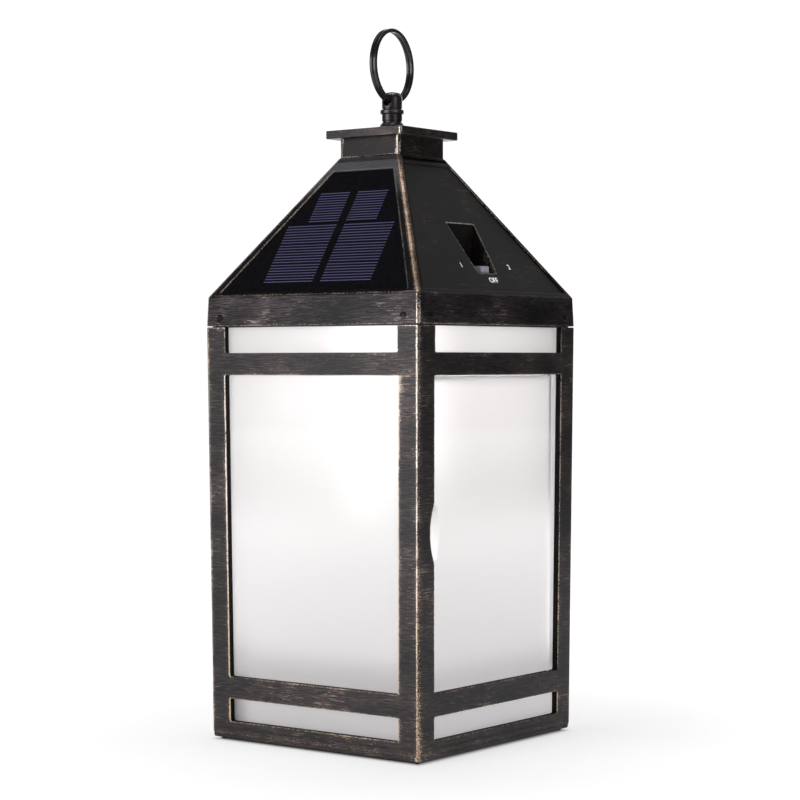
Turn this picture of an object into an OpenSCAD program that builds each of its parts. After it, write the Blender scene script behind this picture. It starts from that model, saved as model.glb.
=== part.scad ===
// Square solar hanging lantern: tapered frame with frosted panes, a door,
// a pyramid roof with a solar panel and a slide switch, and a split ring.
// Origin: centre of the footprint, at the level the feet stand on. +Z up.
// Front (-Y) is the solar side, +X is the switch and door side.

/* [Body] */
// Width of the body at its top edge
body_w = 150; // [148:0.5:153]
// Narrowing of each side from the top edge to the bottom edge
body_draft = 2.14; // [1.6:0.1:2.6]
// Width of the corner posts seen from a side
post_w = 13.9; // [12.5:0.1:15]
// Thickness of the frame's walls
wall = 3.6; // [3.4:0.1:3.8]
// Thickness of the frosted panes
pane_t = 1.6; // [1.2:0.1:1.8]

/* [Heights] */
// Underside of the base plate above the floor
z_base = 1.5; // [1.2:0.1:2]
// Top of the bottom rail
z_rail = 11.3; // [10.8:0.1:12.5]
// Underside of the lower crossbar
z_low0 = 24; // [23.5:0.1:25.5]
// Top of the lower crossbar
z_low1 = 36.4; // [36:0.1:38]
// Underside of the upper crossbar
z_up0 = 205.4; // [204:0.1:207]
// Top of the upper crossbar
z_up1 = 217.3; // [216.5:0.1:219]
// Bottom edge of the roof's skirt
z_skirt = 232.8; // [232.6:0.1:233.2]
// Top edge of the skirt
z_eave = 249.1; // [248.5:0.1:249.8]
// Foot of the neck
z_neck = 327.9; // [326:0.1:329]
// Underside of the cap plate
z_cap0 = 338.8; // [338:0.1:340]
// Top of the cap plate
z_cap1 = 343.4; // [342.5:0.1:344]

/* [Roof] */
// Half width of the roof at the eave
roof_half = 74.44; // [74:0.02:74.6]
// Half width of the roof at the foot of the neck
roof_top_half = 21.9; // [21.5:0.1:22.5]
// Half width of the neck
neck_half = 21.3; // [20.8:0.1:21.6]
// Half width of the cap plate
cap_half = 27; // [26:0.1:28]
// Depth of the plain recess in each roof side
panel_recess = 0.8; // [0.5:0.1:1]
// Depth of the recess that holds the solar panel
solar_recess = 1.8; // [1.6:0.1:1.9]

/* [Hanger] */
// Radius of the hanger post's head
post_r = 5.85; // [5.7:0.05:6]
// Radius of the cross hole for the ring
ring_hole_r = 2.85; // [2.82:0.01:2.95]
// Height of the cross hole's axis
ring_axis_z = 360.6; // [360.2:0.1:361]
// Outer diameter of the split ring
ring_od = 42.4; // [42:0.1:42.8]
// Wire thickness of the ring across its plane, one turn
ring_axial = 2.2; // [2:0.05:2.2]
// Wire thickness of the ring in its plane
ring_radial = 2.3; // [2.2:0.05:2.3]
// Turn of the hanger post, and of the ring with it, about the vertical
ring_yaw = 6; // [0:1:10]

/* [Door] */
// Gap between the door and the window edge
door_gap = 0.8; // [0.6:0.1:1]
// Thickness of the door leaf
door_t = 1.8; // [1.7:0.1:1.8]
// Distance of the hinge axis from the middle of the side
door_axis_y = 52.4; // [52:0.1:52.8]
// Radius of the door's moulded pivots
pivot_r = 0.75; // [0.7:0.05:0.75]
// Radius of the finger scallop and of the pull
pull_r = 36.7; // [36:0.1:37.5]

/* [Switch] */
// Distance of the switch from the middle of its side
switch_y = 1.5; // [0:0.1:2]
// Height of the pocket's floor
pocket_z0 = 261.3; // [261.1:0.1:262]
// Height at which the pocket's back wall meets the roof
pocket_z1 = 291.6; // [291:0.1:292]
// Travel of the knob each way from the middle
knob_travel = 4.5; // [3.5:0.1:4.5]
// Width of the knob along its travel
knob_w = 8; // [7.5:0.1:8]

/* [Hidden] */
$fn = 48;
e = 0.01;

z_frame = z_base + 2.5;            // bottom edge of the frame, on the base plate
z_top = z_skirt - 0.6;             // top edge of the posts, a thin gap below the skirt
kb = body_draft / (z_top - z_base);
draft = atan(kb);
function ah(z) = body_w / 2 - (z_top - z) * kb;   // half width of the body at height z
lip_out = 72.2;
lip_in = 69.4;
z_lip = 242.2;
z_tray = 243.3;
tray_t = 2;

beta = atan((z_neck - z_eave) / (roof_half - roof_top_half)); // slope from level
function rh(z) = roof_half - (z - z_eave) / tan(beta);        // half width of the roof
roof_t = 3;
function ri(z) = rh(z) - roof_t / sin(beta);                  // inside of the roof
pocket_x = rh(pocket_z1);          // vertical back wall of the switch pocket
pocket_a = 14;                     // pocket half width at the top
pocket_b = 8.9;                    // pocket half width at its floor

door_mid = (z_low1 + z_up0) / 2;
door_axis_d = 2.3;                 // hinge axis behind the frame's outer face
door_len = (z_up0 - z_low1) / cos(draft) - 2 * door_gap;
scallop_dz = 16.15;
scallop_y = ah(122.1) - post_w + 3.74 - pull_r; // distance of the arc's centre
door_x = ah(door_mid) - door_axis_d;

skirt_screw_z = 237;
skirt_screw_u = 64.4;
ring_mean = ring_od / 2 - ring_radial / 2;
ring_z = ring_axis_z + 0.05 + ring_mean;

black = [0.13, 0.12, 0.12];
bronze = [0.2, 0.15, 0.12];
frost = [0.94, 0.94, 0.95, 0.75];
white = [0.93, 0.93, 0.92];
steel = [0.3, 0.3, 0.32];

// A profile drawn in (y, z) and extruded along X; a profile in (x, z) along Y.
module along_x(l) { rotate([90, 0, 90]) linear_extrude(height = l, center = true) children(); }
module along_y(l) { rotate([90, 0, 0]) linear_extrude(height = l, center = true) children(); }

module trapezium(h0, z0, h1, z1) {
    polygon([[-h0, z0], [h0, z0], [h1, z1], [-h1, z1]]);
}

// Four-sided frustum with plane faces.
module frustum(h0, z0, h1, z1) {
    intersection() {
        along_x(4 * max(h0, h1)) trapezium(h0, z0, h1, z1);
        along_y(4 * max(h0, h1)) trapezium(h0, z0, h1, z1);
    }
}

module square_bar(h, z0, z1) {
    translate([-h, -h, z0]) cube([2 * h, 2 * h, z1 - z0]);
}

module sides() { for (k = [0:3]) rotate([0, 0, 90 * k]) children(); }

// Local frame of one roof slope: x along the eave, y up the slope, z outward.
module slope(k) {
    rotate([0, 0, 90 * k]) translate([0, -roof_half, z_eave]) rotate([beta, 0, 0]) children();
}

// Local frame of the door side's wall, on the hinge axis at mid height.
module door_frame() {
    translate([door_x, door_axis_y, door_mid]) rotate([0, draft, 0]) children();
}

// ---------------------------------------------------------------- body
module window(z0, z1) {
    translate([0, -ah(z0), 0]) along_y(24) trapezium(ah(z0) - post_w, z0, ah(z1) - post_w, z1);
}

module body_frame() {
    color(black) difference() {
        union() {
            difference() {
                frustum(ah(z_frame), z_frame, ah(z_top), z_top);
                difference() {
                    frustum(ah(z_frame - 2) - wall, z_frame - 2, ah(z_top + 2) - wall, z_top + 2);
                    for (x = [-1, 1], y = [-1, 1])
                        translate([x * 75 - 10, y * 75 - 10, z_frame]) cube([20, 20, z_top - z_frame]);
                }
            }
            // lip that the roof's skirt slides over
            difference() {
                square_bar(lip_out, z_skirt, z_lip);
                square_bar(lip_in, z_skirt - 1, z_lip + 1);
            }
            // corner blocks that carry the skirt screws
            for (x = [-1, 1], y = [-1, 1]) {
                translate([x * 68.6 - 3.6, y * 68.6 - 3.6, z_top - 6]) cube([7.2, 7.2, z_skirt - z_top + 7]);
                translate([x * 66.1 - 6.1, y * 66.1 - 6.1, z_skirt]) cube([12.2, 12.2, z_lip - z_skirt]);
            }
        }
        sides() {
            window(z_rail, z_low0);
            window(z_low1, z_up0);
            translate([0, -ah(z_up1), 0]) along_y(24)
                trapezium(ah(z_up1) - post_w, z_up1, ah(z_skirt - e) - post_w, z_skirt - e);
        }
        // finger scallop in the post beside the door
        translate([60, -scallop_y, 122.1]) rotate([0, 90, 0]) intersection() {
            cylinder(r = pull_r, h = 30, $fn = 96);
            translate([-scallop_dz, -pull_r, 0]) cube([2 * scallop_dz, 20, 30]);
        }
        // pivot sockets of the door
        door_frame() for (s = [-1, 1])
            translate([0, 0, s * (door_len / 2 + 1.5)]) cylinder(r = pivot_r + 0.06, h = 6, center = true);
        // pilot holes of the foot screws and the skirt screws
        for (x = [-1, 1], y = [-1, 1])
            translate([x * 68, y * 68, z_frame - 1]) cylinder(r = 0.8, h = 13);
        sides() for (x = [-1, 1])
            translate([x * skirt_screw_u, -lip_out - 1, skirt_screw_z]) rotate([-90, 0, 0])
                cylinder(r = 0.9, h = 8);
    }
}

// Flat pane that leans with the wall behind side k.
module pane(k) {
    d = wall + 0.05;
    z0 = 8.4;
    z1 = z_skirt - 0.4;
    rotate([0, 0, 90 * k]) intersection() {
        along_x(150) polygon([[-ah(z0) + d, z0], [-ah(z0) + d + pane_t, z0],
                              [-ah(z1) + d + pane_t, z1], [-ah(z1) + d, z1]]);
        along_y(160) trapezium(62.6, z0, 64.6, z1);
    }
}

module front_pane() { color(frost) pane(0); }
module back_pane() { color(frost) pane(2); }
module left_pane() { color(frost) pane(3); }

module door_side_pane() {
    color(frost) difference() {
        pane(1);
        translate([70, 0, 0]) along_x(30)
            polygon([[-56.2, z_low1 + 3], [48.5, z_low1 + 3], [48.5, z_up0 - 3], [-57.8, z_up0 - 3]]);
    }
}

// Leaf, pull and pivots in one moulding, turning about the frame's z axis.
module door() {
    h = door_len;
    y0 = -(ah(z_low1) - post_w) + door_gap - door_axis_y;
    y1 = -(ah(z_up0) - post_w) + door_gap - door_axis_y;
    yc = -scallop_y - door_axis_y;
    color(frost) door_frame() {
        rotate([90, 0, 90]) translate([0, 0, -door_t / 2]) linear_extrude(height = door_t)
            polygon([[y0, -h / 2], [0, -h / 2], [0, h / 2], [y1, h / 2]]);
        // half-moon finger pull
        translate([-door_t / 2, yc, 122.1 - door_mid]) rotate([0, 90, 0]) intersection() {
            cylinder(r = pull_r - 0.7, h = door_t + 1.1, $fn = 96);
            translate([-20, -pull_r - 1, 0]) cube([40, pull_r - 28, 6]);
        }
        // barrel and pivots
        cylinder(r = door_t / 2, h = h, center = true);
        cylinder(r = pivot_r, h = h + 2 * door_gap + 4, center = true);
    }
}

module base_plate() {
    color(black) difference() {
        union() {
            frustum(ah(z_base) - 0.15, z_base, ah(z_frame) - 0.15, z_frame);
            sides() translate([-58, -ah(z_frame) + wall + 0.15, z_frame - 1]) cube([116, 1.6, 5]);
        }
        for (x = [-1, 1], y = [-1, 1])
            translate([x * 68, y * 68, z_base - 1]) cylinder(r = 1.1, h = 6);
    }
}

// Domed heads with a small flat: the lantern stands on these four.
module foot_screws() {
    color(steel) for (x = [-1, 1], y = [-1, 1]) translate([x * 68, y * 68, 0])
        rotate_extrude() polygon([[0, 0], [0.95, 0], [1.3, 0.2], [1.55, 0.55], [1.65, 1], [1.65, z_base],
                                  [0.8, z_base], [0.8, 12], [0, 12.8]]);
}

// ---------------------------------------------------------------- roof
module pocket_shape(g) {
    translate([switch_y, 0])
        polygon([[-pocket_b - g, pocket_z0 - g], [pocket_b + g, pocket_z0 - g],
                 [pocket_a + g, pocket_z1 + 3 + g], [-pocket_a - g, pocket_z1 + 3 + g]]);
}

module face_recess(k, v0, h0, v1, h1, d) {
    slope(k) translate([0, 0, -d]) linear_extrude(height = d + 2)
        polygon([[-h0, v0], [h0, v0], [h1, v1], [-h1, v1]]);
}

module roof_housing() {
    color(bronze) difference() {
        union() {
            difference() {
                union() {
                    frustum(75.05, z_skirt, roof_half, z_eave);
                    frustum(roof_half, z_eave - e, roof_top_half, z_neck);
                    square_bar(neck_half, z_neck - 1, z_cap0);
                }
                square_bar(72.4, z_skirt - 1, z_tray + tray_t + 0.2);
                square_bar(ri(z_eave), z_skirt, z_eave);
                frustum(ri(z_eave), z_eave - e, ri(z_neck), z_neck);
                square_bar(18.4, z_neck - 2, z_cap0 - 2.6);
                for (k = [1:3]) face_recess(k, 3.1, 69.3, 89.3, 21.6, panel_recess);
                face_recess(0, 2.3, 66, 85.6, 21.1, solar_recess);
                for (k = [0:3]) face_recess(k, 91.8, 20.9, 94.6, 19.4, 1.2);
            }
            // walls and floor of the switch pocket, and the plate that carries the switch
            intersection() {
                translate([60, 0, 0]) along_x(2 * (60 - pocket_x) + 3.2) pocket_shape(1.6);
                frustum(roof_half - 1.2, z_eave, roof_top_half - 1.2, z_neck);
            }
            translate([49, switch_y - 17, pocket_z0 - 1.6]) cube([14.5, 34, 1.6]);
            // bosses that the light tray is screwed to
            intersection() {
                for (x = [-1, 1], y = [-1, 1])
                    translate([x * 57, y * 57, z_tray + tray_t]) cylinder(r = 3.5, h = 27);
                union() {
                    square_bar(roof_half - 2.4, z_tray, z_eave);
                    frustum(roof_half - 2.4, z_eave - e, roof_top_half - 2.4, z_neck);
                }
            }
        }
        // the pocket itself
        translate([pocket_x + 25, 0, 0]) along_x(50) pocket_shape(0);
        // slot for the knob's stem
        translate([60.6 - 2.2, switch_y - knob_travel - 2.4, pocket_z0 - 4]) cube([4.4, 2 * knob_travel + 4.8, 6]);
        // screw holes: skirt, tray, switch, hanger stud, lead hole behind the solar panel
        sides() for (x = [-1, 1]) translate([x * skirt_screw_u, -76, skirt_screw_z]) rotate([-90, 0, 0]) {
            cylinder(r = 2.4, h = 2.2);
            cylinder(r = 1.25, h = 6);
        }
        for (x = [-1, 1], y = [-1, 1])
            translate([x * 57, y * 57, z_tray]) cylinder(r = 0.9, h = 11);
        for (y = [-1, 1]) translate([54, switch_y + y * 14.2, pocket_z0 - 3]) cylinder(r = 0.8, h = 5);
        translate([0, 0, z_cap0 - 4]) cylinder(r = 3.1, h = 6);
        slope(0) translate([0, 40, -6]) cylinder(r = 2.5, h = 6);
    }
}

module skirt_screws() {
    color(steel) sides() for (x = [-1, 1])
        translate([x * skirt_screw_u, -74.82, skirt_screw_z]) rotate([-90, 0, 0])
            rotate_extrude() polygon([[0, 0], [1.5, 0], [2.05, 0.35], [2.05, 1], [0.9, 1], [0.9, 8], [0, 8.6]]);
}

module solar_panel() {
    color([0.02, 0.02, 0.03]) difference() {
        slope(0) translate([0, 0, -solar_recess]) linear_extrude(height = solar_recess - 0.8)
            polygon([[-65.7, 2.55], [65.7, 2.55], [21, 85.4], [-21, 85.4]]);
        solar_tiles(0.001);
        slope(0) translate([0, 40, -3]) cylinder(r = 1.6, h = 1.7);
    }
}

// Four tiles flush with the panel's face: two wide ones below two narrow ones.
module solar_tiles(g) {
    slope(0) for (s = [-1, 1]) {
        translate([s > 0 ? 2.8 : -37.6, 9.1, -1.1]) cube([34.8, 40, 0.3 + g]);
        translate([s > 0 ? 2.8 : -24, 50.1, -1.1]) cube([21.2, 20.8, 0.3 + g]);
    }
}

module solar_cells() { color([0.06, 0.05, 0.2]) solar_tiles(0); }

module cap_plate() {
    color(bronze) difference() {
        square_bar(cap_half, z_cap0, z_cap1);
        translate([0, 0, z_cap0 - 1]) cylinder(r = 3.1, h = 8);
    }
}

module hanger_post() {
    color(bronze) difference() {
        rotate_extrude() polygon([[0, 325], [3, 325], [3, z_cap1], [7.5, z_cap1], [7.5, 344.9], [6.9, 347], [6.1, 348.2],
            [5.5, 348.4], [5.5, 349.3], [post_r, 349.7], [post_r, 353.2], [6.5, 353.2], [6.8, 353.6], [6.8, 355.3],
            [6.5, 355.7], [5.4, 355.7], [5.4, 356.4], [post_r, 356.4], [post_r, 362.9], [5.3, 364.2], [4.4, 365.1],
            [3, 365.7], [1.5, 365.9], [0, 365.9]]);
        translate([0, 0, ring_axis_z]) rotate([0, 0, ring_yaw]) rotate([90, 0, 0]) cylinder(r = ring_hole_r, h = 20, center = true);
    }
}

module hanger_washer() {
    color(steel) translate([0, 0, z_cap0 - 2.6 - 1.2]) difference() {
        cylinder(r = 8, h = 1.2);
        translate([0, 0, -1]) cylinder(r = 3.15, h = 4);
    }
}

module hanger_nut() {
    color(steel) translate([0, 0, z_cap0 - 2.6 - 1.2 - 5]) difference() {
        cylinder(r = 5.77, h = 5, $fn = 6);
        translate([0, 0, -1]) cylinder(r = 3.02, h = 8);
    }
}

// One length of wire wound as two turns that press together: a groove runs
// round it on both faces where they meet.
module split_ring() {
    w = ring_radial / 2;
    t = ring_axial;
    c = 0.6;
    g = 0.35;
    color(black) translate([0, 0, ring_z]) rotate([0, 0, ring_yaw]) rotate([0, 90, 0]) rotate_extrude($fn = 96)
        translate([ring_mean, 0])
            polygon([[-w, g], [-w, t - c], [-w + c, t], [w - c, t], [w, t - c], [w, g], [w - g, 0],
                     [w, -g], [w, c - t], [w - c, -t], [c - w, -t], [-w, c - t], [-w, -g], [g - w, 0]]);
}

// ---------------------------------------------------------------- switch
module slide_switch() {
    color([0.55, 0.55, 0.57]) translate([0, switch_y, 0]) difference() {
        union() {
            translate([56.9, -11, pocket_z0 - 7.4]) cube([5.9, 22, 5.8]);
            translate([51, -17, pocket_z0 - 2.6]) cube([11.8, 34, 1]);
            for (y = [-4, 0, 4]) translate([60, y - 0.4, pocket_z0 - 11]) cube([0.8, 0.8, 4]);
        }
        translate([60.6 - 1.6, -knob_travel - 2.4, pocket_z0 - 5.2]) cube([3.2, 2 * knob_travel + 4.8, 6]);
        for (y = [-1, 1]) translate([54, y * 14.2, pocket_z0 - 4]) cylinder(r = 1.1, h = 4);
    }
}

module switch_screws() {
    color(steel) for (y = [-1, 1]) translate([54, switch_y + y * 14.2, pocket_z0 - 2.6])
        rotate_extrude() polygon([[0, -1.2], [1.4, -1.2], [1.9, -0.6], [1.9, 0], [0.8, 0], [0.8, 2.4], [0, 2.6]]);
}

module switch_knob() {
    color([0.72, 0.72, 0.76]) translate([0, switch_y, 0]) {
        translate([57.4, -knob_w / 2, pocket_z0 + 0.3]) cube([6.2, knob_w, 3.9]);
        translate([59.4, -2, pocket_z0 - 4.6]) cube([2.4, 4, 5.4]);
    }
}

// ---------------------------------------------------------------- light tray
module light_tray() {
    color(white) difference() {
        union() {
            square_bar(71.9, z_tray, z_tray + tray_t);
            // battery box
            translate([-32, 28.6, z_tray]) cube([64, 20.8, 17.2]);
            // bosses for the control board and the LED board
            for (x = [-21, 21], y = [-46, -24]) translate([x, y, z_tray]) cylinder(r = 2.2, h = 5);
            for (x = [-15, 15]) translate([x, 0, z_tray - 1.4]) cylinder(r = 2.2, h = 2);
        }
        translate([-30, 30.4, z_tray - 1]) cube([60, 17.2, 16.6]);
        for (x = [-21, 21], y = [-46, -24]) translate([x, y, z_tray + 1]) cylinder(r = 0.8, h = 6);
        for (x = [-15, 15]) translate([x, 0, z_tray - 2]) cylinder(r = 0.8, h = 4);
        for (x = [-1, 1], y = [-1, 1]) translate([x * 57, y * 57, z_tray - 1]) cylinder(r = 1.25, h = 5);
        for (a = [90, 210, 330]) rotate([0, 0, a]) translate([26.3, 0, z_tray - 1]) cylinder(r = 0.8, h = 2.6);
        translate([37, 39, z_tray - 1]) cylinder(r = 0.8, h = 2.6);
        // way through for the LED leads and the battery leads
        translate([0, -9, z_tray - 1]) cylinder(r = 2, h = 5);
        translate([-27.6, 25, z_tray + 5]) rotate([-90, 0, 0]) cylinder(r = 1.6, h = 8);
    }
}

module tray_screws() {
    color(steel) for (x = [-1, 1], y = [-1, 1]) translate([x * 57, y * 57, z_tray])
        rotate_extrude() polygon([[0, -1.7], [1.5, -1.7], [2.4, -0.8], [2.4, 0], [0.9, 0], [0.9, 9], [0, 9.6]]);
}

module roof_seal() {
    color([0.1, 0.1, 0.1]) difference() {
        square_bar(72.1, z_lip, z_tray);
        square_bar(69.6, z_lip - 1, z_tray + 1);
    }
}

module led_board() {
    color([0.1, 0.3, 0.15]) difference() {
        translate([0, 0, z_tray - 3]) cylinder(r = 19, h = 1.6);
        for (x = [-15, 15]) translate([x, 0, z_tray - 4]) cylinder(r = 1.1, h = 4);
        translate([0, -9, z_tray - 4]) cylinder(r = 1.4, h = 4);
    }
}

module led_board_screws() {
    color(steel) for (x = [-15, 15]) translate([x, 0, z_tray - 3])
        rotate_extrude() polygon([[0, -1.3], [1.2, -1.3], [1.8, -0.7], [1.8, 0], [0.8, 0], [0.8, 4.2], [0, 4.4]]);
}

module led(r) {
    rotate_extrude() polygon([[0, 0], [r + 0.4, 0], [r + 0.4, -1], [r, -1], [r, -5.6], [r * 0.87, -6.7],
                              [r * 0.5, -7.6], [0, -8]]);
}

module white_leds() {
    color([0.95, 0.95, 0.9]) for (a = [45, 135, 225, 315])
        rotate([0, 0, a]) translate([6.5, 0, z_tray - 3]) led(2.5);
}

module amber_leds() {
    color([0.95, 0.6, 0.15]) for (a = [65, 155, 245, 335])
        rotate([0, 0, a]) translate([13.8, 0, z_tray - 3]) led(2.5);
}

// Frosted tube with a domed end that hangs from the tray.
module light_diffuser() {
    color([0.97, 0.97, 0.97, 0.8]) difference() {
        union() {
            translate([0, 0, z_tray - 1.8]) cylinder(r = 28.4, h = 1.8);
            rotate_extrude() polygon([[0, 122], [8, 122.8], [15, 125.2], [20, 129.5], [22.6, 135], [23.4, 142],
                                      [23.4, z_tray - 1], [0, z_tray - 1]]);
        }
        rotate_extrude() polygon([[0, 123.6], [7.6, 124.4], [14.2, 126.6], [18.9, 130.6], [21.2, 135.6],
                                  [21.8, 142.4], [21.8, z_tray + 1], [0, z_tray + 1]]);
        for (a = [90, 210, 330]) rotate([0, 0, a]) translate([26.3, 0, z_tray - 3]) cylinder(r = 1.1, h = 4);
    }
}

module diffuser_screws() {
    color(steel) for (a = [90, 210, 330]) rotate([0, 0, a]) translate([26.3, 0, z_tray - 1.8])
        rotate_extrude() polygon([[0, -1.3], [1.2, -1.3], [1.9, -0.7], [1.9, 0], [0.8, 0], [0.8, 3.1], [0, 3.3]]);
}

module control_board() {
    color([0.08, 0.32, 0.16]) difference() {
        translate([-26, -50, z_tray + 5]) cube([52, 30, 1.6]);
        for (x = [-21, 21], y = [-46, -24]) translate([x, y, z_tray + 4]) cylinder(r = 1.1, h = 4);
    }
}

module board_parts() {
    z = z_tray + 6.6;
    color([0.12, 0.12, 0.13]) {
        translate([-6, -38, z]) cube([8, 5, 1.6]);
        translate([9, -33, z]) cylinder(r = 3.6, h = 5);
        translate([-16, -30, z]) cylinder(r = 2.5, h = 7);
        for (x = [-14, -10, 14]) translate([x, -42, z]) cube([1.6, 3.2, 0.7]);
        translate([12, -45.5, z]) cube([4, 2.4, 1]);
    }
}

module board_screws() {
    color(steel) for (x = [-21, 21], y = [-46, -24]) translate([x, y, z_tray + 6.6])
        rotate_extrude() polygon([[0, 1.3], [1.2, 1.3], [1.8, 0.7], [1.8, 0], [0.8, 0], [0.8, -5.2], [0, -5.4]]);
}

module battery() {
    color([0.1, 0.35, 0.2]) translate([0, 39, z_tray + 7.9]) rotate([0, 90, 0]) {
        translate([0, 0, -25]) cylinder(r = 7.15, h = 49.2);
        translate([0, 0, 24]) cylinder(r = 2.7, h = 1.5);
    }
}

module battery_contacts() {
    color([0.75, 0.75, 0.76]) translate([0, 39, z_tray + 7.9]) {
        translate([25.6, -7.5, -6]) cube([0.5, 13.5, 12]);
        translate([-29.6, -7.5, -6]) cube([0.5, 13.5, 12]);
        rotate([0, 90, 0]) for (i = [0:3]) translate([0, 0, -28.9 + i * 0.95])
            rotate_extrude() translate([5.2 - i * 0.7, 0]) circle(r = 0.45, $fn = 16);
    }
}

module battery_cover() {
    color(white) difference() {
        union() {
            translate([-32, 28.8, z_tray - 1.6]) cube([73, 20.4, 1.6]);
            translate([-29.7, 30.7, z_tray - 0.2]) cube([59.4, 1.4, 2]);
            translate([-29.7, 45.9, z_tray - 0.2]) cube([59.4, 1.4, 2]);
        }
        translate([37, 39, z_tray - 3]) cylinder(r = 1.1, h = 4);
    }
}

module battery_cover_screw() {
    color(steel) translate([37, 39, z_tray - 1.6])
        rotate_extrude() polygon([[0, -1.4], [1.4, -1.4], [2.2, -0.7], [2.2, 0], [0.8, 0], [0.8, 3], [0, 3.2]]);
}

// ---------------------------------------------------------------- leads
function unit(v) = v / norm(v);
function dir(p, i) = i == 0 ? unit(p[1] - p[0])
    : i == len(p) - 1 ? unit(p[i] - p[i - 1]) : unit(unit(p[i + 1] - p[i]) + unit(p[i] - p[i - 1]));
// Points of a smooth curve through hand-placed ones.
function spline(p, m) = [for (i = [0:len(p) - 2], j = [0:m - 1])
    let (a = p[max(i - 1, 0)], b = p[i], c = p[i + 1], d = p[min(i + 2, len(p) - 1)], t = j / m)
    0.5 * (2 * b + (c - a) * t + (2 * a - 5 * b + 4 * c - d) * t * t + (3 * b - a - 3 * c + d) * t * t * t),
    p[len(p) - 1]];
module lead(p, ref = [1, 0, 0], r = 0.6) {
    n = 6;
    q = spline(p, 4);
    m = len(q);
    pts = [for (i = [0:m - 1]) let (t = dir(q, i), u = unit(cross(t, ref)), v = cross(t, u))
        for (k = [0:n - 1]) q[i] + r * (cos(k * 360 / n) * u + sin(k * 360 / n) * v)];
    polyhedron(pts, concat([[for (k = [0:n - 1]) k]],
        [for (i = [0:m - 2], k = [0:n - 1]) [i * n + k, (i + 1) * n + k, (i + 1) * n + (k + 1) % n, i * n + (k + 1) % n]],
        [[for (k = [n - 1:-1:0]) (m - 1) * n + k]]));
}

z_board = z_tray + 6.6;             // top of the control board
sy = -roof_half + 40 * cos(beta);   // hole behind the solar panel
sz = z_eave + 40 * sin(beta);
red = [0.7, 0.08, 0.08];
dark = [0.08, 0.08, 0.08];

module solar_leads() {
    for (s = [-1, 1]) color(s < 0 ? red : dark)
        lead([[s * 0.8, sy + 1.14, sz - 0.76], [s * 0.8, sy + 5.8, sz - 3.9], [s * 1.2, -42, 270],
              [s * 1.5, -41, 259], [s * 1.5, -44.6, 253.8], [s * 1.5, -45.2, z_board + 1.4], [s * 1.5, -45.2, z_board + 0.12]]);
}
module battery_leads() {
    color(dark) lead([[-28.45, 32.3, z_tray + 5], [-28.4, 27.5, z_tray + 5], [-28.4, 21, z_tray + 5.6],
        [-28, 0, z_tray + 6.5], [-24, -12, z_tray + 10], [-15.5, -21.5, z_tray + 10.2], [-13, -23.6, z_board + 1.4],
        [-13, -23.6, z_board + 0.12]],
        [0.3, 0, 1]);
    color(red) lead([[24.95, 32.2, z_tray + 12], [21, 31.3, z_tray + 13.6], [0, 31.2, z_tray + 13.8],
        [-20, 31.2, z_tray + 13.2], [-26, 31.3, z_tray + 9], [-26.8, 29.5, z_tray + 5.3], [-26.8, 26, z_tray + 5],
        [-26.6, 20, z_tray + 5.6], [-26, 0, z_tray + 6.8], [-22, -11, z_tray + 10.6], [-13.5, -19.5, z_tray + 10.6],
        [-10.5, -22.6, z_board + 1.5], [-10.5, -22.6, z_board + 0.12]], [0.3, 0.5, 1]);
}
module led_leads() {
    for (s = [-1, 1]) color(s < 0 ? red : dark)
        lead([[s * 0.72, -9, z_tray - 1.3], [s * 0.72, -9, z_tray + 2], [s * 0.9, -11, z_tray + 7],
              [s * 1.2, -17, z_tray + 10.5], [s * 1.4, -22.5, z_tray + 10.2], [s * 1.4, -24.4, z_board + 1.4],
              [s * 1.4, -24.4, z_board + 0.12]]);
}
module switch_leads() {
    color(red) lead([[60.4, switch_y - 4, pocket_z0 - 11.5], [58.6, -4.1, 247.6], [46, -16, 250], [32, -28, 253.4],
        [20, -35.4, 253.6], [17, -37, z_board + 1.4], [17, -37, z_board + 0.12]], [0.4, -0.5, 0.2]);
    color(dark) lead([[60.4, switch_y, pocket_z0 - 11.5], [58, -0.9, 247.6], [45, -13.4, 250], [31, -25.4, 253.6],
        [20.6, -31.8, 253.8], [18.4, -33.4, z_board + 1.4], [18.4, -33.4, z_board + 0.12]], [0.4, -0.5, 0.2]);
}

body_frame();
front_pane();
left_pane();
back_pane();
door_side_pane();
base_plate();
foot_screws();
roof_housing();
skirt_screws();
solar_panel();
solar_cells();
cap_plate();
hanger_post();
hanger_nut();
hanger_washer();
slide_switch();
switch_screws();
light_tray();
tray_screws();
roof_seal();
led_board();
led_board_screws();
white_leds();
amber_leds();
light_diffuser();
diffuser_screws();
control_board();
board_parts();
board_screws();
battery();
battery_contacts();
battery_cover();
battery_cover_screw();
solar_leads();
battery_leads();
led_leads();
switch_leads();
door();
split_ring();
switch_knob();
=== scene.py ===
import math
import bpy
import bmesh
from mathutils import Matrix, Vector
from mathutils.geometry import tessellate_polygon


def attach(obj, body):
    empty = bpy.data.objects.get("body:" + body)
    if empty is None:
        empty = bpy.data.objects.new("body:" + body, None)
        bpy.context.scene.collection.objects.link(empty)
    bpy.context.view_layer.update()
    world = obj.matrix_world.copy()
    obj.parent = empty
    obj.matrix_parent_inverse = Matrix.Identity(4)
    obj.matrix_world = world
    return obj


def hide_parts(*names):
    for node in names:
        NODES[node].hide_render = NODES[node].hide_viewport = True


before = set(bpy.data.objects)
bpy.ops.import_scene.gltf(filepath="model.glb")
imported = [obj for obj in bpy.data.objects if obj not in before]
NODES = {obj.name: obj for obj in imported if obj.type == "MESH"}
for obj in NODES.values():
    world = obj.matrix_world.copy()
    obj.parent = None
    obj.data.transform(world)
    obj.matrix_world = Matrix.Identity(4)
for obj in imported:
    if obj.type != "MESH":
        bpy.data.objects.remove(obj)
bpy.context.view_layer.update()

MM = 0.001

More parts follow.
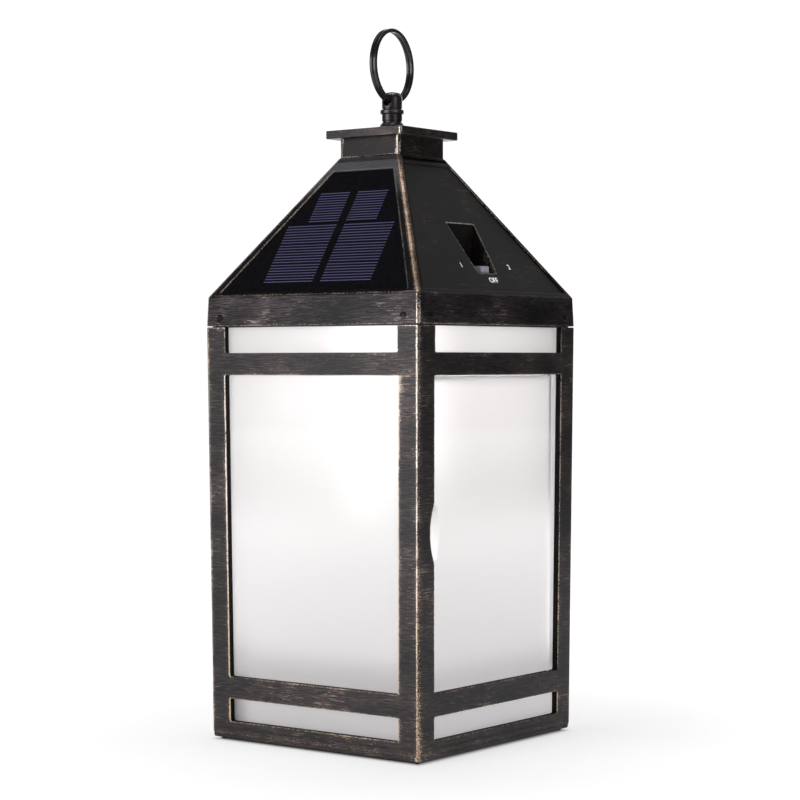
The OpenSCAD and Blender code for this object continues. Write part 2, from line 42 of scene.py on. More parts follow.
# ------------------------------------------------------------------ sizes, in millimetres
Z_BASE, Z_FRAME, Z_TOP = 1.5, 4.0, 232.2
Z_RAIL, Z_LOW0, Z_LOW1, Z_UP0, Z_UP1 = 11.3, 24.0, 36.4, 205.4, 217.3
Z_SKIRT, Z_EAVE, Z_NECK, Z_CAP0, Z_CAP1 = 232.8, 249.1, 327.9, 338.8, 343.4
KB = 2.14 / (Z_TOP - Z_BASE)
DRAFT = math.atan(KB)
WALL, POST = 3.6, 13.9
ROOF, ROOF_TOP = 74.44, 21.9
CAP = 27.0
SWITCH_Y = 1.5
RING_YAW = math.radians(6)
BETA = math.atan((Z_NECK - Z_EAVE) / (ROOF - ROOF_TOP))
SB, CB = math.sin(BETA), math.cos(BETA)


def ah(z):
    return 75.0 - (Z_TOP - z) * KB


def rh(z):
    return ROOF - (z - Z_EAVE) * CB / SB


def turn(k, x, y, z):
    c, s = ((1, 0), (0, 1), (-1, 0), (0, -1))[k % 4]
    return (c * x - s * y, s * x + c * y, z)


def on_side(k, u, d, z):
    """A point on body side k, d behind the outer face."""
    return turn(k, u, -(ah(z) - d), z)


def on_slope(k, x, v, d):
    """A point on roof slope k: x along the eave, v up the slope, d below the face."""
    return turn(k, x, -ROOF + v * CB + d * SB, Z_EAVE + v * SB - d * CB)


# ------------------------------------------------------------------ mesh building
class Shape:
    def __init__(self):
        self.v, self.f, self.w, self.m = [], [], [], []
        self.mat = 0

    def loop(self, pts, wear_and_highlight=0.0):
        i = len(self.v)
        self.v += [tuple(p) for p in pts]
        self.w += list(wear_and_highlight) if hasattr(wear_and_highlight, "__len__") else [wear_and_highlight] * len(pts)
        return list(range(i, len(self.v)))

    def face(self, ids):
        self.f.append(tuple(ids))
        self.m.append(self.mat)

    def strip(self, a, b, closed=True):
        n = len(a)
        for i in range(n if closed else n - 1):
            j = (i + 1) % n
            self.face((a[i], a[j], b[j], b[i]))

    def lofts(self, loops, closed=True):
        for a, b in zip(loops, loops[1:]):
            self.strip(a, b, closed)

    def fill(self, *loops):
        """A flat region bounded by the first loop, with the others as holes."""
        flat = [i for l in loops for i in l]
        for t in tessellate_polygon([[Vector(self.v[i]) for i in l] for l in loops]):
            self.face(tuple(flat[i] for i in t))

    def make(self, name, mats, angle=32, weld=True, weighted=True):
        mesh = bpy.data.meshes.new(name)
        mesh.from_pydata([(x * MM, y * MM, z * MM) for x, y, z in self.v], [], self.f)
        att = mesh.attributes.new("wear_and_highlight", "FLOAT", "POINT")
        att.data.foreach_set("value", self.w)
        for m in mats:
            mesh.materials.append(m)
        mesh.polygons.foreach_set("material_index", self.m)
        bm = bmesh.new()
        bm.from_mesh(mesh)
        if weld:
            bmesh.ops.remove_doubles(bm, verts=bm.verts, dist=2e-6)
            bmesh.ops.dissolve_degenerate(bm, edges=bm.edges, dist=1e-6)
        bmesh.ops.recalc_face_normals(bm, faces=bm.faces)
        bm.to_mesh(mesh)
        bm.free()
        mesh.polygons.foreach_set("use_smooth", [True] * len(mesh.polygons))
        mesh.set_sharp_from_angle(angle=math.radians(angle))
        mesh.update()
        ob = bpy.data.objects.new(name, mesh)
        bpy.context.scene.collection.objects.link(ob)
        if weighted:
            wn = ob.modifiers.new("normals", "WEIGHTED_NORMAL")
            wn.keep_sharp = True
            wn.weight = 60
        return ob


def round_poly(pts, r, n=4):
    """Rounds each corner of a 2-D polygon. r is a number or one per corner."""
    out, m = [], len(pts)
    rs = r if hasattr(r, "__len__") else [r] * m
    for i in range(m):
        p, a, b = Vector(pts[i]), Vector(pts[i - 1]), Vector(pts[(i + 1) % m])
        if rs[i] <= 0:
            out.append((p.x, p.y))
            continue
        da, db = (a - p).normalized(), (b - p).normalized()
        half = math.acos(max(-1, min(1, da.dot(db)))) / 2
        t = rs[i] / math.tan(half)
        c = p + (da + db).normalized() * (rs[i] / math.sin(half))
        s, e = p + da * t - c, p + db * t - c
        ang = s.angle_signed(e)
        for k in range(n + 1):
            q = s.copy()
            q.rotate(Matrix.Rotation(-ang * k / n, 2))
            out.append((c.x + q.x, c.y + q.y))
    return out


def area2(pts):
    return sum(pts[i][0] * pts[(i + 1) % len(pts)][1] - pts[(i + 1) % len(pts)][0] * pts[i][1] for i in range(len(pts)))


def grow(pts, d, closed=True):
    """Moves a 2-D outline outwards by d with mitred corners; same number of points."""
    s = 1 if area2(pts) > 0 else -1
    out, n = [], len(pts)
    for i in range(n):
        p = Vector(pts[i])
        e0 = p - Vector(pts[i - 1]) if closed or i > 0 else None
        e1 = Vector(pts[(i + 1) % n]) - p if closed or i < n - 1 else None
        e0 = e0 or e1
        e1 = e1 or e0
        n0 = Vector((e0.y, -e0.x)).normalized() * s
        n1 = Vector((e1.y, -e1.x)).normalized() * s
        b = n0 + n1
        b = b / max(b.length_squared / 2, 0.35)
        out.append((p.x + b.x * d, p.y + b.y * d))
    return out


QUARTER = [math.radians(a) for a in (0, 30, 60, 90)]


def upright_wear_and_highlight(pts, high, low):
    """Edge weight for each point of an outline, partly real rubbing and partly painted highlight: high on its upright
    edges, where highlights fall, low on its level ones.
    """
    out, n = [], len(pts)
    for i in range(n):
        e0 = Vector(pts[i]) - Vector(pts[i - 1])
        e1 = Vector(pts[(i + 1) % n]) - Vector(pts[i])
        e = e0 if e0.length > 4 * e1.length else e1 if e1.length > 4 * e0.length else e0 + e1
        v = abs(e.y) / max(e.length, 1e-9)
        out.append(low + (high - low) * v * v)
    return out


def corner_arc(k, h, r, z, n=6, inset=0.0):
    """The rounded corner between sides k and k+1 of a square of half width h."""
    pts = []
    for i in range(n + 1):
        a = math.radians(-90 + 90 * i / n)
        pts.append(turn(k, h - r + (r - inset) * math.cos(a), -(h - r) + (r - inset) * math.sin(a), z))
    return pts


def square_loop(h, r, z, n=6):
    return [p for k in range(4) for p in corner_arc(k, h, r, z, n)]


def arc_wear(n, mid, end):
    return [end + (mid - end) * math.sin(math.pi * i / n) for i in range(n + 1)]


def square_shell(name, levels, mats, closed=True, n=6, extra=0.9):
    """A loft of rounded squares. levels: (z, half, corner radius, rubbing and highlight weight). Adds a soft line
    beside each corner.
    """
    s = Shape()
    rings = []
    for z, h, r, w in levels:
        pts, wear_and_highlight = [], []
        for k in range(4):
            arc = corner_arc(k, h, r, z, n)
            a0, a1 = Vector(turn(k, h - r - extra, -h, z)), Vector(turn(k, h, -(h - r - extra), z))
            pts += [tuple(a0)] + arc + [tuple(a1)]
            # corner weights, partly real rubbing and partly painted highlight: strongest at the start of each corner's
            # arc
            wear_and_highlight += [w * 0.5, 1.0, 1.2] + [max(w, 0.7)] * (n - 2) + [0.5] + [w * 0.5]
        rings.append(s.loop(pts, wear_and_highlight))
    s.lofts(rings)
    if closed:
        s.fill(rings[0])
        s.fill(rings[-1])
    return s.make(name, mats)


def revolve(s, profile, n=48, wear_and_highlight=None, axis="Z", centre=(0, 0, 0)):
    """Adds a surface of revolution; profile is [(r, z)], and r of 0 closes it."""
    rings = []
    for i, (r, z) in enumerate(profile):
        w = wear_and_highlight[i] if wear_and_highlight else 0.0
        pts = []
        for j in range(n if r > 1e-6 else 1):
            a = 2 * math.pi * j / n
            p = (r * math.cos(a), r * math.sin(a), z)
            if axis == "X":
                p = (p[2], p[0], p[1])
            elif axis == "Y":
                p = (p[1], p[2], p[0])
            pts.append(tuple(p[q] + centre[q] for q in range(3)))
        rings.append(s.loop(pts, w))
    for a, b in zip(rings, rings[1:]):
        if len(a) == 1 and len(b) == 1:
            continue
        if len(a) == 1:
            for j in range(n):
                s.face((a[0], b[(j + 1) % n], b[j]))
        elif len(b) == 1:
            for j in range(n):
                s.face((a[j], a[(j + 1) % n], b[0]))
        else:
            s.strip(a, b)


def fillet(profile, rad, n=4):
    """Rounds the corners of an open (r, z) profile. rad: one radius for each point, 0 to keep it."""
    out = []
    for i, (p, r) in enumerate(zip(profile, rad)):
        if r <= 0 or i in (0, len(profile) - 1):
            out.append(tuple(p))
            continue
        p, a, b = Vector(p), Vector(profile[i - 1]), Vector(profile[i + 1])
        da, db = a - p, b - p
        la, lb = da.length, db.length
        da, db = da / la, db / lb
        half = math.acos(max(-1, min(1, da.dot(db)))) / 2
        if half > math.radians(88):
            out.append(tuple(p))
            continue
        t = min(r / math.tan(half), 0.45 * la, 0.45 * lb)
        r = t * math.tan(half)
        c = p + (da + db).normalized() * (r / math.sin(half))
        s, e = p + da * t - c, p + db * t - c
        ang = s.angle_signed(e)
        for k in range(n + 1):
            q = s.copy()
            q.rotate(Matrix.Rotation(-ang * k / n, 2))
            out.append((c.x + q.x, c.y + q.y))
    return out


# ------------------------------------------------------------------ materials
class Nodes:
    """A small builder for node materials."""

    def __init__(self, name):
        self.m = bpy.data.materials.new(name)
        self.m.use_nodes = True
        self.t = self.m.node_tree
        self.t.nodes.clear()
        self.out = self.t.nodes.new("ShaderNodeOutputMaterial")
        self.obj = self.t.nodes.new("ShaderNodeTexCoord").outputs["Object"]

    def add(self, kind, ins=None, **props):
        n = self.t.nodes.new(kind)
        for k, v in props.items():
            setattr(n, k, v)
        for k, v in (ins or {}).items():
            sock = n.inputs[k]
            if isinstance(v, bpy.types.NodeSocket):
                self.t.links.new(v, sock)
            else:
                sock.default_value = v
        return n

    def math(self, op, a, b=0.0, c=0.0, clamp=False):
        return self.add("ShaderNodeMath", {0: a, 1: b, 2: c}, operation=op, use_clamp=clamp).outputs[0]

    def remap(self, v, a, b, c=0.0, d=1.0, kind="SMOOTHSTEP"):
        return self.add("ShaderNodeMapRange", {"Value": v, "From Min": a, "From Max": b, "To Min": c, "To Max": d},
                        interpolation_type=kind).outputs["Result"]

    def mix(self, f, a, b, blend="MIX"):
        n = self.add("ShaderNodeMix", data_type="RGBA", blend_type=blend, clamp_factor=True)
        for idx, v in ((0, f), (6, a), (7, b)):
            if isinstance(v, bpy.types.NodeSocket):
                self.t.links.new(v, n.inputs[idx])
            else:
                n.inputs[idx].default_value = v if idx == 0 else (*v, 1)
        return n.outputs[2]

    def noise(self, scale=(1, 1, 1), detail=3.0, rough=0.55, at=(0, 0, 0), size=1.0, distort=0.0, rot=(0, 0, 0)):
        mp = self.add("ShaderNodeMapping", {"Vector": self.obj, "Scale": scale, "Location": at, "Rotation": rot})
        return self.add("ShaderNodeTexNoise", {"Vector": mp.outputs[0], "Scale": size, "Detail": detail,
                                               "Roughness": rough, "Distortion": distort}).outputs["Fac"]

    def wear_and_highlight(self):
        return self.add("ShaderNodeAttribute", attribute_name="wear_and_highlight").outputs["Fac"]

    def bump(self, h, strength, dist):
        return self.add("ShaderNodeBump", {"Height": h, "Strength": strength, "Distance": dist}).outputs[0]

    def finish(self, shader):
        self.t.links.new(shader, self.out.inputs["Surface"])
        return self.m


def brushed(name, base, brown, tan, fine=0.55, long=0.6, tick=0.9, edge=1.0, rough=0.36, rot=(0, 0, 0),
            spec=0.4, seed=0.0, size=1.0, near_edge=0.1, tint=(1.0, 0.96, 1.04), edge_col=(0.88, 0.76, 0.66), relief=0.3, painted_reflection_top=None):
    """Dark plastic with a dry-brushed copper wipe: fine level striations, sparse long streaks, short ticks
    that crowd towards the edges, and rubbed edges, partly real rubbing and partly painted highlight, from the vertex
    attribute; their colour turns darker and browner towards the bottom."""
    n = Nodes(name)
    strie = n.noise((140, 140, 4000), 3.0, 0.66, at=(seed, 0, 0), rot=rot, size=size)
    lng = n.noise((80, 80, 1700), 4.0, 0.7, at=(3 + seed, 1, 7), rot=rot, size=size)
    ticks = n.noise((260, 260, 2400), 3.0, 0.75, at=(7, seed, 1), rot=rot, size=size)
    patch = n.noise((26, 26, 44), 2.0, 0.5, at=(9 + seed, 4, 2))
    spot = n.noise((75, 75, 130), 2.0, 0.5, at=(4, 2 + seed, 6))
    grit = n.noise((1100, 1100, 1100), 2.0, 0.6, at=(1, 8, seed))
    wear_and_highlight = n.wear_and_highlight()
    half = lambda v, k: n.math("MULTIPLY", n.math("SUBTRACT", v, 0.5), k)
    s1 = n.math("MULTIPLY", n.remap(n.math("ADD", n.math("ADD", strie, n.math("MULTIPLY", wear_and_highlight, 0.09)), half(patch, 0.35)), 0.46, 0.66), fine, clamp=True)
    s2 = n.math("MULTIPLY", n.remap(n.math("ADD", lng, n.math("ADD", half(patch, 0.3), half(spot, 0.2))), 0.62, 0.71), long, clamp=True)
    tv = n.math("ADD", n.math("ADD", ticks, n.math("MULTIPLY", wear_and_highlight, near_edge)), n.math("ADD", half(patch, 0.25), half(spot, 0.3)))
    s3 = n.math("MULTIPLY", n.remap(tv, 0.68, 0.78), tick, clamp=True)
    chip = n.noise((1500, 1500, 2300), 2.0, 0.55, at=(5, seed, 3), rot=rot, size=size)
    worn_and_highlit = n.math("ADD", n.math("MULTIPLY", wear_and_highlight, 0.75), n.math("ADD", half(chip, 3.4), n.math("ADD", half(spot, 0.8), half(patch, 0.5))))
    worn_and_highlit = n.math("MULTIPLY", n.math("MULTIPLY", n.remap(worn_and_highlit, 0.66, 0.86), n.remap(wear_and_highlight, 0.3, 0.8)), edge, clamp=True)
    dark = n.mix(n.remap(patch, 0.3, 0.7), tuple(c * 0.8 for c in base), tuple(c * t * 1.15 for c, t in zip(base, tint)))
    # painted reflection: above 0.3 m the dark base turns light grey
    if painted_reflection_top:
        dark = n.mix(n.remap(n.add("ShaderNodeSeparateXYZ", {0: n.obj}).outputs[2], 0.3, 0.322), dark, painted_reflection_top)
    c = n.mix(s1, dark, brown)
    c = n.mix(s2, c, tuple(0.55 * a + 0.45 * b for a, b in zip(tan, brown)))
    c = n.mix(n.math("MULTIPLY", s3, n.remap(grit, 0.2, 0.55, 0.5, 1.0)), c, tan)
    low = n.remap(n.add("ShaderNodeSeparateXYZ", {0: n.obj}).outputs[2], 0.15, 0.02)
    rub_and_highlight_colour = n.mix(low, edge_col, tuple(q * t for q, t in zip(edge_col, (0.92, 0.8, 0.64))))
    c = n.mix(worn_and_highlit, c, rub_and_highlight_colour)
    metal = n.math("MULTIPLY", n.math("MAXIMUM", n.math("MULTIPLY", n.math("MAXIMUM", s2, s1), 0.85), n.math("MAXIMUM", s3, worn_and_highlit)), 0.95, clamp=True)
    ro = n.math("ADD", rough, half(strie, relief), clamp=True)
    h = n.math("ADD", n.math("MULTIPLY", strie, 0.7), n.math("MULTIPLY", grit, 0.3))
    p = n.add("ShaderNodeBsdfPrincipled", {"Base Color": c, "Roughness": ro, "Metallic": metal,
                                           "Normal": n.bump(h, relief, 0.0001)})
    p.inputs["Specular IOR Level"].default_value = spec
    return n.finish(p.outputs[0])


def plain(name, color, rough=0.45, metallic=0.0, vary=0.12, scale=120.0, bump=0.15, spec=0.5, stretch=(1, 1, 1), coat=0.0, glow=0.0):
    """Moulded or turned material with slight colour and gloss variation and a fine surface grain."""
    n = Nodes(name)
    a = n.noise(tuple(scale * q for q in stretch), 4.0, 0.6)
    b = n.noise((1400, 1400, 1400), 2.0, 0.5, at=(2, 5, 1))
    lo = tuple(c * (1 - vary) for c in color)
    hi = tuple(min(1, c * (1 + vary)) for c in color)
    c = n.mix(n.remap(a, 0.3, 0.7), lo, hi)
    ro = n.math("ADD", rough, n.math("MULTIPLY", n.math("SUBTRACT", a, 0.5), 0.25), clamp=True)
    p = n.add("ShaderNodeBsdfPrincipled", {"Base Color": c, "Roughness": ro, "Normal": n.bump(b, bump, 0.00006)})
    p.inputs["Metallic"].default_value = metallic
    p.inputs["Specular IOR Level"].default_value = spec
    # glow: painted light, the surface also emits its own colour
    if glow:
        n.t.links.new(c, p.inputs["Emission Color"])
        p.inputs["Emission Strength"].default_value = glow
    if coat:
        p.inputs["Coat Weight"].default_value = coat
        p.inputs["Coat Roughness"].default_value = 0.06
    return n.finish(p.outputs[0])


def frosted(name, albedo, front=0.42, back=0.42, blur=1.0, ior=1.3, rough=0.5, grain=0.3, lit=0.155, sill=(0.041, 0.060), low=0.12,
            corner=False):
    """Frosted sheet: it scatters light back, scatters light through, and shows what is behind it blurred. It also
    carries a painted glow below the lamp, and with corner set a painted shade at its lower left corner.
    """
    n = Nodes(name)
    cloud = n.noise((30, 30, 30), 2.0, 0.5)
    fine = n.noise((1800, 1800, 1800), 3.0, 0.7)
    col = n.mix(n.remap(cloud, 0.3, 0.7), tuple(c * 0.985 for c in albedo), albedo)
    bump = n.bump(fine, grain, 0.00006)
    # painted glow: emission on the sheet standing in for the lamp's light spread below the tube, fading out above where
    # the lamp's own glow shows through, with a fainter band along the bottom
    sep = n.add("ShaderNodeSeparateXYZ", {0: n.obj})
    z = sep.outputs[2]
    painted_glow_below_lamp = n.math("MULTIPLY", n.remap(z, sill[0], sill[1]), n.remap(z, 0.112, 0.152, lit, 0.0))
    glow = n.math("ADD", painted_glow_below_lamp, n.remap(z, 0.036, 0.040, low, low * 0.3))
    glow = n.math("MULTIPLY", glow, n.remap(z, 0.17, 0.18, 1.0, 0.0))
    # painted shade: on the front sheet the glow fades and the colour drops to 0.45 of the albedo towards the lower left
    # corner
    if corner:
        side = n.remap(sep.outputs[0], -0.062, -0.040)
        glow = n.math("MULTIPLY", glow, n.math("MAXIMUM", side, n.remap(z, 0.035, 0.07)))
        col = n.mix(n.math("MAXIMUM", n.remap(sep.outputs[0], -0.060, -0.046), n.remap(z, 0.024, 0.042)), tuple(c * 0.45 for c in albedo), col)
    dif = n.add("ShaderNodeBsdfPrincipled", {"Base Color": col, "Roughness": n.remap(fine, 0.3, 0.7, rough - 0.08, rough + 0.08), "Normal": bump})
    dif.inputs["Specular IOR Level"].default_value = 0.35
    dif.inputs["Emission Color"].default_value = (1.0, 0.985, 0.985, 1)
    n.t.links.new(n.math("DIVIDE", glow, front), dif.inputs["Emission Strength"])
    tr = n.add("ShaderNodeBsdfTranslucent", {"Color": col})
    see = n.add("ShaderNodeBsdfRefraction", {"Color": (0.99, 0.985, 0.985, 1), "Roughness": blur, "IOR": ior})
    inner = n.add("ShaderNodeMixShader", {0: back / (1 - front), 1: see.outputs[0], 2: tr.outputs[0]})
    body = n.add("ShaderNodeMixShader", {0: front, 1: inner.outputs[0], 2: dif.outputs[0]})
    return n.finish(body.outputs[0])


def clear_back(name):
    """The inner face of a frosted sheet. The outer face carries the frosting, so this one lets light pass."""
    n = Nodes(name)
    f = n.noise((900, 900, 900), 2.0)
    tr = n.add("ShaderNodeBsdfTransparent", {"Color": (0.98, 0.98, 0.98, 1)})
    d = n.add("ShaderNodeBsdfDiffuse", {"Color": (0.85, 0.85, 0.85, 1)})
    return n.finish(n.add("ShaderNodeMixShader", {0: n.remap(f, 0.3, 0.7, 0.02, 0.05), 1: tr.outputs[0], 2: d.outputs[0]}).outputs[0])


GREY_BROWN = (0.14, 0.105, 0.104)
TAN = (0.56, 0.42, 0.31)
M_FRAME = brushed("frame_black_brushed", (0.0088, 0.0078, 0.009), GREY_BROWN, (0.56, 0.44, 0.37), fine=0.62, long=0.75, tick=0.95, near_edge=0.14)
M_SKIRT = brushed("skirt_black_brushed", (0.0072, 0.0064, 0.0078), (0.135, 0.108, 0.115), (0.56, 0.45, 0.4), fine=0.62, long=0.85, tick=0.95, spec=0.24, seed=0.7)
M_ROOF = brushed("roof_black_brushed", (0.0075, 0.007, 0.0076), (0.06, 0.043, 0.038), TAN, fine=0.5, long=0.3, tick=0.5, edge=0.9, spec=0.28)
# the front slope's border, with a painted reflection along its top strip
M_BAND = brushed("solar_border_black", (0.008, 0.0076, 0.0084), (0.06, 0.045, 0.042), TAN, fine=0.3, long=0.15, tick=0.3, edge=0.95,
                 painted_reflection_top=(0.145, 0.14, 0.152))
M_RIB = brushed("hip_bronze_brushed", (0.05, 0.03, 0.022), (0.34, 0.2, 0.13), (0.8, 0.56, 0.4), fine=1.0, long=0.8, tick=1.0,
                rough=0.36, near_edge=0.2, edge_col=(0.84, 0.61, 0.46))
M_POST = brushed("hanger_black_bronze", (0.03, 0.026, 0.026), (0.06, 0.04, 0.033), TAN, fine=0.12, long=0.05, tick=0.0, rough=0.27, spec=0.6, relief=0.04)
M_RING = brushed("ring_black_gloss", (0.024, 0.02, 0.02), (0.03, 0.022, 0.02), (0.25, 0.18, 0.14), fine=0.15, long=0.05, tick=0.0,
                 edge=0.12, rough=0.2, spec=0.6, relief=0.03)
M_INNER = plain("frame_inner_wall", (0.006, 0.0055, 0.006), 0.6, vary=0.3, scale=300, spec=0.12)
M_SCREW = plain("screw_black", (0.01, 0.01, 0.01), 0.4, 0.2, bump=0.1, spec=0.2)
# every frosted sheet carries a painted glow of its own, set per side: stronger low down on the back, left and door-side
# sheets than on the front, higher on the door, brightest on the door pull
M_PANE = frosted("pane_frosted", (0.9, 0.885, 0.89), low=0.2)
M_FRONT = frosted("front_pane_frosted", (0.9, 0.885, 0.89), corner=True)
M_SIDE = frosted("side_pane_frosted", (0.9, 0.885, 0.89), low=0.22)
M_DOOR = frosted("door_frosted", (0.9, 0.885, 0.89), lit=0.195, sill=(0.032, 0.058))
M_PULL = frosted("door_pull_frosted", (0.93, 0.92, 0.92), lit=0.3, front=0.6, back=0.25)
M_BACK = clear_back("pane_inner_face")
M_KNOB = plain("knob_grey", (0.62, 0.62, 0.68), 0.45, vary=0.06)
# the printed marks carry a painted glow that keeps them bright white
M_LABEL = plain("label_white", (0.85, 0.85, 0.84), 0.5, vary=0.04, glow=0.9)
M_WHITE = plain("white_plastic", (0.82, 0.82, 0.81), 0.4, vary=0.04, scale=40)
M_STEEL = plain("zinc_steel", (0.55, 0.55, 0.56), 0.35, 1.0, stretch=(1, 1, 8))
M_CASE = plain("switch_case", (0.02, 0.02, 0.02), 0.4)
M_FOAM = plain("foam_black", (0.015, 0.015, 0.015), 0.9, scale=900, vary=0.4, bump=0.6)
M_PCB = plain("circuit_board", (0.012, 0.13, 0.045), 0.35, scale=300, vary=0.3)
M_PART = plain("component_black", (0.02, 0.02, 0.022), 0.4)
M_CELL_AA = plain("battery_sleeve", (0.03, 0.2, 0.09), 0.3, scale=60)
M_NICKEL = plain("contact_nickel", (0.7, 0.69, 0.66), 0.25, 1.0)
M_WIRE = plain("lead_red", (0.4, 0.02, 0.02), 0.45, scale=200)


def led_material(name, color, strength):
    n = Nodes(name)
    c = n.mix(n.remap(n.noise((300, 300, 300)), 0.3, 0.7), tuple(q * 0.95 for q in color), color)
    p = n.add("ShaderNodeBsdfPrincipled", {"Base Color": c, "Roughness": n.remap(n.noise((700, 700, 700)), 0.3, 0.7, 0.1, 0.2),
                                           "Emission Color": c})
    p.inputs["Emission Strength"].default_value = strength
    return n.finish(p.outputs[0])


M_LED_W = led_material("led_white", (0.95, 0.95, 0.9), 2.0)
M_LED_A = led_material("led_amber", (0.95, 0.5, 0.12), 0.0)


def tube_material():
    n = Nodes("diffuser_lit")
    fine = n.noise((900, 900, 900), 3.0, 0.6)
    sep = n.add("ShaderNodeSeparateXYZ", {0: n.obj})
    up = n.remap(sep.outputs[2], 0.120, 0.185, 0.4, 1.0)
    c = n.mix(n.remap(fine, 0.3, 0.7), (0.92, 0.91, 0.92), (0.97, 0.96, 0.96))
    p = n.add("ShaderNodeBsdfPrincipled", {"Base Color": c, "Roughness": n.remap(fine, 0.3, 0.7, 0.45, 0.6)})
    e = n.add("ShaderNodeEmission", {"Color": (1.0, 0.98, 0.965, 1), "Strength": n.math("MULTIPLY", up, TUBE_GLOW)})
    return n.finish(n.add("ShaderNodeAddShader", {0: p.outputs[0], 1: e.outputs[0]}).outputs[0])


TUBE_GLOW = 3.5
M_TUBE = tube_material()


def solar_material(board):
    """Near-black clear-coated board, or dark indigo cells with printed silver-lavender fingers."""
    n = Nodes("solar_board" if board else "solar_cell")
    if board:
        f = n.noise((500, 500, 500), 2.0)
        c = n.mix(n.remap(f, 0.3, 0.7), (0.004, 0.004, 0.006), (0.008, 0.008, 0.011))
        p = n.add("ShaderNodeBsdfPrincipled", {"Base Color": c, "Roughness": n.remap(f, 0.3, 0.7, 0.2, 0.26)})
    else:
        sep = n.add("ShaderNodeSeparateXYZ", {0: n.obj})
        v = n.math("DIVIDE", n.math("SUBTRACT", sep.outputs[2], (Z_EAVE - 0.8 * CB) * MM), SB * MM)
        a = n.noise((90, 90, 90), 3.0)
        c = n.mix(n.remap(a, 0.3, 0.7), (0.0012, 0.0012, 0.0055), (0.003, 0.0027, 0.012))
        n.v = v
        fac = None
        for lo, hi, pitch, first in CELL_LINES:
            t = n.math("DIVIDE", n.math("SUBTRACT", v, first), pitch)
            d = n.math("ABSOLUTE", n.math("SUBTRACT", t, n.math("ROUND", t)))
            line = n.remap(d, 0.17, 0.1)
            inside = n.math("MULTIPLY", n.math("GREATER_THAN", v, lo), n.math("LESS_THAN", v, hi))
            line = n.math("MULTIPLY", line, inside)
            fac = line if fac is None else n.math("MAXIMUM", fac, line)
        c = n.mix(n.math("MULTIPLY", fac, 0.9), c, (0.19, 0.183, 0.34))
        p = n.add("ShaderNodeBsdfPrincipled", {"Base Color": c, "Roughness": n.remap(a, 0.3, 0.7, 0.28, 0.34)})
    p.inputs["Specular IOR Level"].default_value = 0.16
    p.inputs["Coat Weight"].default_value = 0.14
    p.inputs["Coat Roughness"].default_value = 0.05
    return n.finish(p.outputs[0])


# groups of printed lines up the slope: (from, to, pitch, first line)
CELL_LINES = [(9.2 + 13.35 * i, 9.2 + 13.35 * i + 12.5, 1.87, 9.9 + 13.35 * i) for i in range(3)] + [(50.2, 71.0, 1.75, 51.0)]
M_BOARD = solar_material(True)
M_CELLS = solar_material(False)


def place(ob, body, *nodes, slot=None):
    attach(ob, body)
    if nodes:
        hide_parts(*nodes)
    return ob


# ------------------------------------------------------------------ body frame
R_CORNER = 1.9
R_EDGE = 0.4


SCALLOP_Y = -(ah(122.1) - POST + 3.74 - 36.7)


def scallop_window(pts):
    """Adds the finger scallop to the door-side window's near edge."""
    (x0, z0), (x1, z1), (x2, z2), (x3, z3) = pts        # ccw: low left, low right, high right, high left
    cy, cz, r = SCALLOP_Y, 122.1, 36.7
    out, hits = [], []
    for i in range(400):
        z = cz - 20 + 40 * i / 399
        xe = x0 + (x3 - x0) * (z - z0) / (z3 - z0)
        if abs(z - cz) < r and cy - math.sqrt(r * r - (z - cz) ** 2) < xe:
            hits.append(z)
    lo, hi = hits[0], hits[-1]
    arc = []
    for i in range(17):
        z = hi + (lo - hi) * i / 16
        arc.append((cy - math.sqrt(r * r - (z - cz) ** 2), z))
    return [(x0, z0), (x1, z1), (x2, z2), (x3, z3)], arc


def window_outline(k, z0, z1, r=1.1):
    pts = [(-(ah(z0) - POST), z0), (ah(z0) - POST, z0), (ah(z1) - POST, z1), (-(ah(z1) - POST), z1)]
    if k == 1 and z0 == Z_LOW1:
        _, arc = scallop_window(pts)
        return round_poly(pts + arc, [r] * 4 + [0] * len(arc))
    return round_poly(pts, r)


